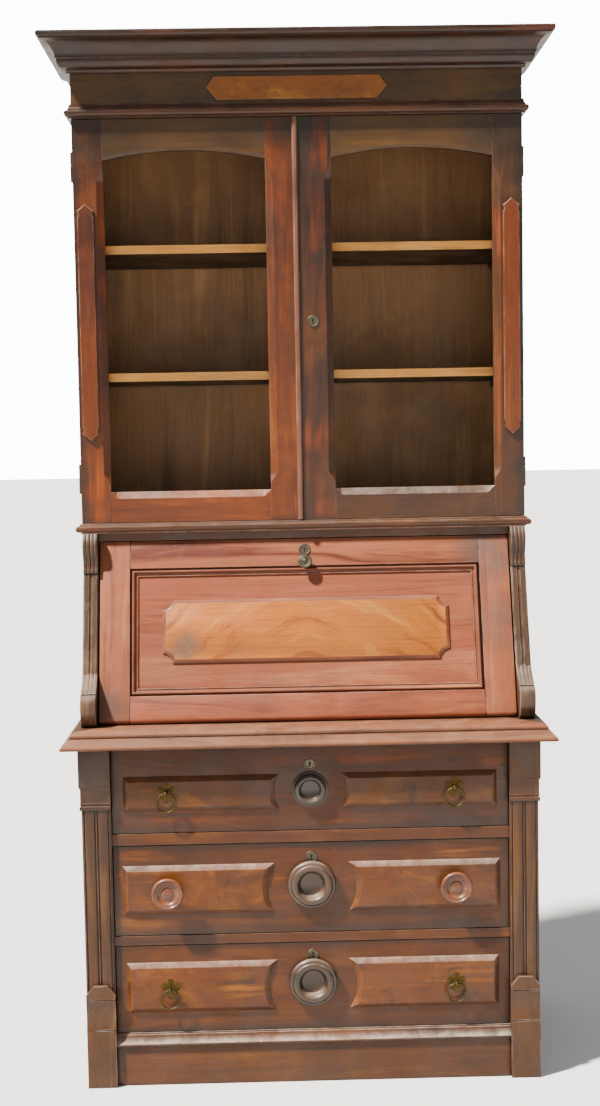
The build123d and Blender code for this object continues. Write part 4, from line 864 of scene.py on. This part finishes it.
for s, side in ((-1, "left"), (1, "right")):
    body = side + "_door"
    # stiles: |X| ranges, sight edge first
    for nm, sight, outer in (("meeting", GI, 0.6), ("hanging", GO, HW)):
        d = 1 if outer > sight else -1
        zl = [DB, 1272] + [1272 + k * 3 for k in range(1, 11)] + [1302 + k * 60 for k in range(1, 11)] + [1924 + k * 3 for k in range(0, 11)] + [DT_]
        v, f = [], []
        for z in zl:
            up_ = ogee((z - 1272) / 30)
            dn_ = ogee((1954 - z) / 30)
            q = max(0.02, min(up_, dn_))
            w, dp = 14.5 * q, 9.0 * q
            v += [(s * outer, UF, z), (s * (sight + d * w), UF, z), (s * sight, UF + dp, z), (s * sight, UF + 14, z),
                  (s * (sight + d * 8), UF + 14, z), (s * (sight + d * 8), UF + 22, z), (s * outer, UF + 22, z)]
        m = 7
        for i in range(len(zl) - 1):
            for k in range(m):
                f.append((i * m + k, i * m + (k + 1) % m, (i + 1) * m + (k + 1) % m, (i + 1) * m + k))
        f += [tuple(range(m)), tuple((len(zl) - 1) * m + k for k in range(m))]
        make(f"{side}_door_{nm}_stile", v, f, M["door_v" if side == "left" else "door_v2"], body, "door", smooth=20, replaces=(side + "_door_frame",) if nm == "meeting" else ())
    # arched top rail and bottom rail
    xs = [GI + 0.15 + (GO - GI - 0.3) * k / 48 for k in range(49)]
    v, f = [], []
    for x in xs:
        zs = arc_z(x, SPRING, CROWN)
        t = ogee(min(x - GI, GO - x) / 9.0)
        w, dp = 5.5 * max(t, 0.45), 4.2 * max(t, 0.45)
        v += [(s * x, UF + 0.15, DT_), (s * x, UF + 0.15, zs + w), (s * x, UF + dp, zs), (s * x, UF + 14, zs), (s * x, UF + 14, zs + 8), (s * x, UF + 22, zs + 8), (s * x, UF + 22, DT_)]
    m = 7
    for i in range(len(xs) - 1):
        for k in range(m):
            f.append((i * m + k, i * m + (k + 1) % m, (i + 1) * m + (k + 1) % m, (i + 1) * m + k))
    f += [tuple(range(m)), tuple((len(xs) - 1) * m + k for k in range(m))]
    make(side + "_door_top_rail", v, f, M["door_top"], body, "door", smooth=20)
    xs = [GI + 0.15 + (GO - GI - 0.3) * k / 60 for k in range(61)]
    v, f = [], []
    for x in xs:
        t = ogee(min(x - GI, GO - x) / 16.0)
        w, dp = 14.5 * max(t, 0.03), 9.5 * max(t, 0.03)
        v += [(s * x, UF + 0.15, DB), (s * x, UF + 0.15, SILL - w), (s * x, UF + dp, SILL), (s * x, UF + 14, SILL), (s * x, UF + 14, SILL - 8), (s * x, UF + 22, SILL - 8), (s * x, UF + 22, DB)]
    for i in range(len(xs) - 1):
        for k in range(m):
            f.append((i * m + k, i * m + (k + 1) % m, (i + 1) * m + (k + 1) % m, (i + 1) * m + k))
    f = [q for q in f] + [tuple(range(m)), tuple((len(xs) - 1) * m + k for k in range(m))]
    make(side + "_door_bottom_rail", v, f, M["door_h" if s < 0 else "door_hb"], body, "door", smooth=20)
    # glazing beads inside
    e0, e1, f0, f1 = GI - 7.9, GO + 7.9, SILL - 7.9, CROWN + 7.9
    for nm, a, b, c, e in (("a", e0, e0 + 7, f0, f1), ("b", e1 - 7, e1, f0, f1), ("c", e0 + 7, e1 - 7, f0, f0 + 7), ("d", e0 + 7, e1 - 7, f1 - 7, f1)):
        x0, x1 = sorted((s * a, s * b))
        board(f"{side}_door_bead_{nm}", x0, x1, UF + 17, UF + 21.9, c, e, M["door_v"] if nm in "ab" else M["door_h"], body, "door", bevel=1.2)

# --------------------------------------------------------------------- drawers
ROUND_BIG = chain([(44.4, 0), (44.4, 2.4)], spline([(44.4, 2.4), (47.6, 4.6), (49, 8.4), (48.4, 12.4), (45.8, 15.4), (42.6, 16.2)], 6),
                  [(41.8, 15.0)], spline([(41.8, 15.0), (40.2, 17.8), (36.6, 19.6), (32.4, 19.2), (28.8, 16.6), (26.2, 12.4), (24.2, 8.4), (22.8, 6.0)], 6),
                  [(22.0, 5.4), (0, 5.2)])
ROUND_SMALL = chain([(38.5, 0), (38.5, 1.8)], spline([(38.5, 1.8), (37.6, 3.2), (35.4, 4.0), (34, 4.4)], 3), spline([(34, 4.4), (34.3, 7.6), (33.2, 11.6), (30.6, 15.0), (27.0, 16.4), (24.2, 15.8)], 6),
                    spline([(24.2, 15.8), (22.6, 13.6), (20.6, 10.0), (18.4, 8.0), (16, 7.2)], 5), [(15.4, 6.8), (0, 6.5)])
KNOBP = chain([(17, 0), (17, 1.6)], spline([(17, 1.6), (14, 3.6), (11.4, 6.4), (10.8, 10), (13, 14.4), (20, 17.4), (27.4, 19.2), (31.8, 21.6), (33.6, 25), (33.2, 28), (31, 30.2), (28.4, 30.2)], 6),
              [(26.8, 28.6)], spline([(26.8, 28.6), (25.4, 29.0), (23.4, 28.6), (21.6, 27.4)], 4), spline([(21.6, 27.4), (19.4, 25.4), (16.6, 24.2), (14.4, 24.0)], 5),
              spline([(14.4, 24.0), (13.4, 24.6), (11.4, 25.4), (8, 26.6), (4, 27.3), (0, 27.5)], 6))


def escutcheon(name, x, y, z, r, body, axis=None, conv=None, h=1.0):
    """A ring with a sunk plate and a shallow keyhole pocket, its floor painted near black as the shade of the hole.
    conv maps (a, b, out) to a point.
    """
    conv = conv or (lambda a, b, o: (x + a, y - o, z + b))
    seg = 64
    prof = chain([(r, 0), (r, 0.9 * h)], spline([(r, 0.9 * h), (r - 0.5, 1.8 * h), (r - 1.5, 2.2 * h), (r - 2.5, 1.9 * h), (r - 3.0, 1.0 * h)], 4), [(r - 3.2, 0.7 * h)])
    v, f = [], []
    for rr, hh in prof:
        for k in range(seg):
            t = 2 * math.pi * k / seg
            v.append(conv(rr * math.cos(t), rr * math.sin(t), hh))
    for i in range(len(prof) - 1):
        for k in range(seg):
            f.append((i * seg + k, i * seg + (k + 1) % seg, (i + 1) * seg + (k + 1) % seg, (i + 1) * seg + k))
    # keyhole outline matched point for point to the plate's rim
    key = []
    for k in range(seg):
        t = 2 * math.pi * k / seg
        c_, s_ = math.cos(t), math.sin(t)
        # round head above, slot below
        best = None
        kr, kz = 3.3, 2.4
        bq = -2 * s_ * kz
        disc = bq * bq / 4 - (kz * kz - kr * kr)
        if disc >= 0:
            best = s_ * kz + math.sqrt(disc) if (s_ * kz + math.sqrt(disc)) > 0 else None
        sx, szl = 1.7, 7.2
        if s_ < 0:
            q = min(sx / max(abs(c_), 1e-6), szl / max(abs(s_), 1e-6))
            best = max(best or 0, q)
        elif best is None:
            best = sx / max(abs(c_), 1e-6)
        key.append((best * c_, best * s_))
    b0 = (len(prof) - 1) * seg
    k0 = len(v)
    v += [conv(a, b, 0.7 * h) for a, b in key]
    v += [conv(a, b, 0.15) for a, b in key]
    for k in range(seg):
        k2 = (k + 1) % seg
        f.append((b0 + k, b0 + k2, k0 + k2, k0 + k))
        f.append((k0 + k, k0 + k2, k0 + seg + k2, k0 + seg + k))
    fm = [0] * len(f)
    f.append(tuple(k0 + seg + k for k in range(seg)))
    fm.append(1)
    f.append(tuple(range(seg)))
    fm.append(0)
    return make(name, v, f, [M["brass_dark"], M["keyhole"]], body, "brass", face_mats=fm, smooth=34)


ZR = {"top": (544.3, 728.3, 66.0, 394.5, 590.5, 665.0, 631.5, 684.6), "middle": (323.8, 517.2, 79.0, 400.0, 369.0, 474.0, 428.0, 486.0),
      "bottom": (113.3, 301.2, 77.0, 396.0, 156.0, 264.5, 216.5, 273.6)}
for dn_, (z0, z1, pin, pout, pz0, pz1, rz, ez) in ZR.items():
    body = dn_ + "_drawer"
    fm_ = M["front_h"] if dn_ == "middle" else M["front_h2"] if dn_ == "bottom" else M["front_h3"]
    board(dn_ + "_drawer_face", -419.5, 419.5, DF, DF + 22, z0, z1, fm_, body, "front", bevel=1.0, replaces=(dn_ + "_drawer_front",))
    zc, hh = (pz0 + pz1) / 2, (pz1 - pz0) / 2
    R0 = math.hypot(pin, hh)
    bw = 12.5
    for s, nm in ((-1, "left"), (1, "right")):
        na = 24

        def loop(inset):
            H = hh - inset
            Rr = R0 + inset
            a1 = math.asin(H / Rr)
            pts = [(pout - inset, zc - H), (pout - inset, zc + H)]
            for k in range(na + 1):
                t = a1 - 2 * a1 * k / na
                pts.append((Rr * math.cos(t), zc + Rr * math.sin(t)))
            return pts
        lv = [(loop(0), 0), (loop(0), 1.2), (loop(0.4), 1.6), (loop(10.6), 7.9), (loop(11.0), 8.0)]
        v, f = [], []
        n = len(lv[0][0])
        for pts, h in lv:
            v += [(s * x, DF - h, z) for x, z in pts]
        for i in range(len(lv) - 1):
            f += [(i * n + k, i * n + (k + 1) % n, (i + 1) * n + (k + 1) % n, (i + 1) * n + k) for k in range(n)]
        f += [tuple((len(lv) - 1) * n + k for k in range(n)), tuple(range(n))]
        make(f"{dn_}_{nm}_panel", v, f, M["panel_h"] if dn_ != "top" else M["panel_h2"], body, "panel", smooth=16)
    lathe(dn_ + "_roundel", ROUND_SMALL if dn_ == "top" else [(r_ * 1.045, h_) for r_, h_ in ROUND_BIG], (0, DF, rz), M["turned"] if dn_ != "top" else M["turned_dark"], body, "moulded", replaces=(dn_ + "_drawer_ornament",))
    escutcheon(dn_ + "_keyhole", 0, DF, ez, 12.5 if dn_ != "top" else 12.0, body)
    board(dn_ + "_lock_case", -24, 24, DF + 22, DF + 33, ez - 18, ez + 26, M["iron"], body, "iron", bevel=0.8, replaces=(dn_ + "_drawer_lock",))
    pf = DF - 8
    if dn_ == "middle":
        for s, nm in ((-1, "left"), (1, "right")):
            lathe(nm + "_knob", KNOBP, (s * 304, pf, zc), M["knob"], body, "moulded", replaces=("middle_drawer_knobs",) if s > 0 else ())
    else:
        eye = zc + 4.0 if dn_ == "top" else zc - 1.0
        ey = pf - 11.0
        for s, nm in ((-1, "left"), (1, "right")):
            x = s * 304
            # lobed back plate, slightly domed
            seg = 120
            lob = [(0, 0, 12.5), (-13, 6, 7.2), (13, 6, 7.2), (0, 15, 6.8), (0, -16, 6.5), (-9, -9, 5.6), (9, -9, 5.6)]
            rim = []
            for k in range(seg):
                t = 2 * math.pi * k / seg
                c_, s_ = math.cos(t), math.sin(t)
                best = 4.0
                for cx, cz, cr in lob:
                    bq = cx * c_ + cz * s_
                    disc = bq * bq - (cx * cx + cz * cz - cr * cr)
                    if disc > 0:
                        best = max(best, bq + math.sqrt(disc))
                rim.append(best)
            v, f = [], []
            lv = [(1.0, 0.0), (1.0, 0.5), (0.955, 0.95), (0.82, 1.15), (0.4, 1.9), (0.25, 2.4)]
            for q, h in lv:
                for k in range(seg):
                    t = 2 * math.pi * k / seg
                    v.append((x + q * rim[k] * math.cos(t), pf - h, eye + q * rim[k] * math.sin(t)))
            for i in range(len(lv) - 1):
                f += [(i * seg + k, i * seg + (k + 1) % seg, (i + 1) * seg + (k + 1) % seg, (i + 1) * seg + k) for k in range(seg)]
            f += [tuple((len(lv) - 1) * seg + k for k in range(seg)), tuple(range(seg))]
            make(f"{dn_}_{nm}_pull_plate", v, f, M["plate"], body, "brass", smooth=30)
            lathe(f"{dn_}_{nm}_pull_post", chain([(4.2, 0.4), (4.2, 1.6)], spline([(4.2, 1.6), (3.0, 3.2), (2.5, 5), (3.2, 6.4)], 5)), (x, pf, eye), M["brass"], body, "brass", seg=32)
            # the eye: a short rounded tube along X
            v, f = [], []
            prof = [(3.1, -2.7), (3.1, 2.7), (3.9, 3.0), (5.0, 2.5), (5.6, 1.2), (5.6, -1.2), (5.0, -2.5), (3.9, -3.0)]
            sg = 40
            for rr, hx_ in prof:
                for k in range(sg):
                    t = 2 * math.pi * k / sg
                    v.append((x + hx_, ey + rr * math.cos(t), eye + rr * math.sin(t)))
            np_ = len(prof)
            for i in range(np_):
                j2 = (i + 1) % np_
                f += [(i * sg + k, i * sg + (k + 1) % sg, j2 * sg + (k + 1) % sg, j2 * sg + k) for k in range(sg)]
            make(f"{dn_}_{nm}_pull_eye", v, f, M["brass"], body, "brass", smooth=50,
                 replaces=(dn_ + "_drawer_pull_plates",) if s > 0 else ())
            # the ring
            v, f = [], []
            ns, nt_ = 72, 20
            for a in range(ns):
                t = 2 * math.pi * a / ns
                for b in range(nt_):
                    p = 2 * math.pi * b / nt_
                    rr = 20.0 + 2.15 * math.cos(p)
                    v.append((x + rr * math.sin(t), ey + 2.15 * math.sin(p), eye - 20.0 + rr * math.cos(t)))
            for a in range(ns):
                for b in range(nt_):
                    f.append((a * nt_ + b, ((a + 1) % ns) * nt_ + b, ((a + 1) % ns) * nt_ + (b + 1) % nt_, a * nt_ + (b + 1) % nt_))
            make(f"{dn_}_{nm}_ring", v, f, M["brass"], f"{dn_}_ring_{nm}", "brass", smooth=60, replaces=(f"{dn_}_drawer_{nm}_ring",))

# lid hardware
LC = lambda a, b, o: LP(a, 363.7 + b, 11 + o)
escutcheon("lid_keyhole", 0, 0, 0, 13.0, "lid", conv=LC)
lathe("lid_pull", chain([(9, 0), (9, 1.2)], spline([(9, 1.2), (6.4, 2.4), (4.6, 4.6), (5.2, 8), (9, 9.8), (13.4, 11), (15.2, 13), (15.3, 15), (14, 16.6)], 5),
                        spline([(14, 16.6), (12.4, 17.4), (11, 16.6), (10, 16.2)], 4), spline([(10, 16.2), (8.6, 17.4), (7, 17.6), (5.8, 16.8)], 4),
                        spline([(5.8, 16.8), (4.6, 18.6), (2.6, 19.8), (0, 20.2)], 4)), LP(0, 334.7, 11), M["brass_dark"], "lid", "brass", axis=(0, -cs, sn), replaces=("lid_knob",))
v = [LP(x, u, w) for x in (-25, 25) for u in (344, 380) for w in (-11.2, -9)]
make("lid_lock_plate", v, [(0, 1, 3, 2), (4, 6, 7, 5), (0, 4, 5, 1), (2, 3, 7, 6), (0, 2, 6, 4), (1, 5, 7, 3)], M["iron"], "lid", "iron", bevel=0.5, replaces=("lid_lock",))
escutcheon("right_door_keyhole", 26.9, UF, 1623, 12.5, "right_door")
board("right_door_lock_case", 3, 51, UF + 22, UF + 34, 1592, 1654, M["iron"], "right_door", "iron", bevel=1.0, replaces=("right_door_lock",))

# ------------------------------------------------------- floor, light, camera
def plane(name, pts, mat):
    me = bpy.data.meshes.new(name)
    me.from_pydata(pts, [], [(0, 1, 2, 3)])
    ob = bpy.data.objects.new(name, me)
    bpy.context.scene.collection.objects.link(ob)
    me.materials.append(mat)
    return ob


fm, nt, bs = new_mat("pale_floor")
bs.inputs["Base Color"].default_value = (0.93, 0.92, 0.89, 1)
bs.inputs["Roughness"].default_value = 0.8
floor = plane("floor", [(-60, -60, -0.0005), (60, -60, -0.0005), (60, 60, -0.0005), (-60, 60, -0.0005)], fm)
floor.visible_diffuse = False

world = bpy.data.worlds.new("studio")
bpy.context.scene.world = world
world.use_nodes = True
wn = world.node_tree
bg = wn.nodes["Background"]
bg.inputs[0].default_value = (0.93, 0.97, 1.0, 1)
lp = wn.nodes.new("ShaderNodeLightPath")
mx = wn.nodes.new("ShaderNodeMapRange")
mx.inputs[3].default_value = 0.41
mx.inputs[4].default_value = 14.0
wn.links.new(lp.outputs["Is Camera Ray"], mx.inputs[0])
wn.links.new(mx.outputs[0], bg.inputs[1])


def area(name, loc, target, size, power, col=(1, 1, 1), size_y=None):
    li = bpy.data.lights.new(name, "AREA")
    li.energy = power
    li.color = col
    li.shape = "RECTANGLE"
    li.size = size
    li.size_y = size_y or size
    ob = bpy.data.objects.new(name, li)
    bpy.context.scene.collection.objects.link(ob)
    ob.location = loc
    ob.rotation_euler = (Vector(target) - Vector(loc)).to_track_quat("-Z", "Y").to_euler()
    return ob


sun = bpy.data.lights.new("key", "SUN")
sun.energy = 12.5
sun.angle = math.radians(4)
sun.color = (1.0, 0.965, 0.90)
suno = bpy.data.objects.new("key", sun)
bpy.context.scene.collection.objects.link(suno)
el, az = math.radians(55.5), math.radians(62)
suno.rotation_euler = Vector((-math.sin(az) * math.cos(el), -math.cos(az) * math.cos(el), math.sin(el))).to_track_quat("Z", "Y").to_euler()
area("front", (0.6, -4.6, 1.4), (0, 0, 1.1), 3.0, 20, (1.0, 1.0, 1.0))

cam = bpy.data.cameras.new("camera")
cam.sensor_width = 36.0
cam.sensor_fit = "AUTO"
cam.lens = 48.83
camo = bpy.data.objects.new("camera", cam)
bpy.context.scene.collection.objects.link(camo)
pitch, yaw, roll = (math.radians(a) for a in (-4.232, -1.034, -1.014))
MR = Matrix.Rotation(yaw, 3, "Z") @ Matrix.Rotation(pitch, 3, "X")
fwd, r, u = MR @ Vector((0, 1, 0)), MR @ Vector((1, 0, 0)), MR @ Vector((0, 0, 1))
right = math.cos(roll) * r + math.sin(roll) * u
up = -math.sin(roll) * r + math.cos(roll) * u
R = Matrix((right, up, -fwd)).transposed()
camo.matrix_world = Matrix.Translation((-0.0690, -3.3368, 1.3629)) @ R.to_4x4()
bpy.context.scene.camera = camo
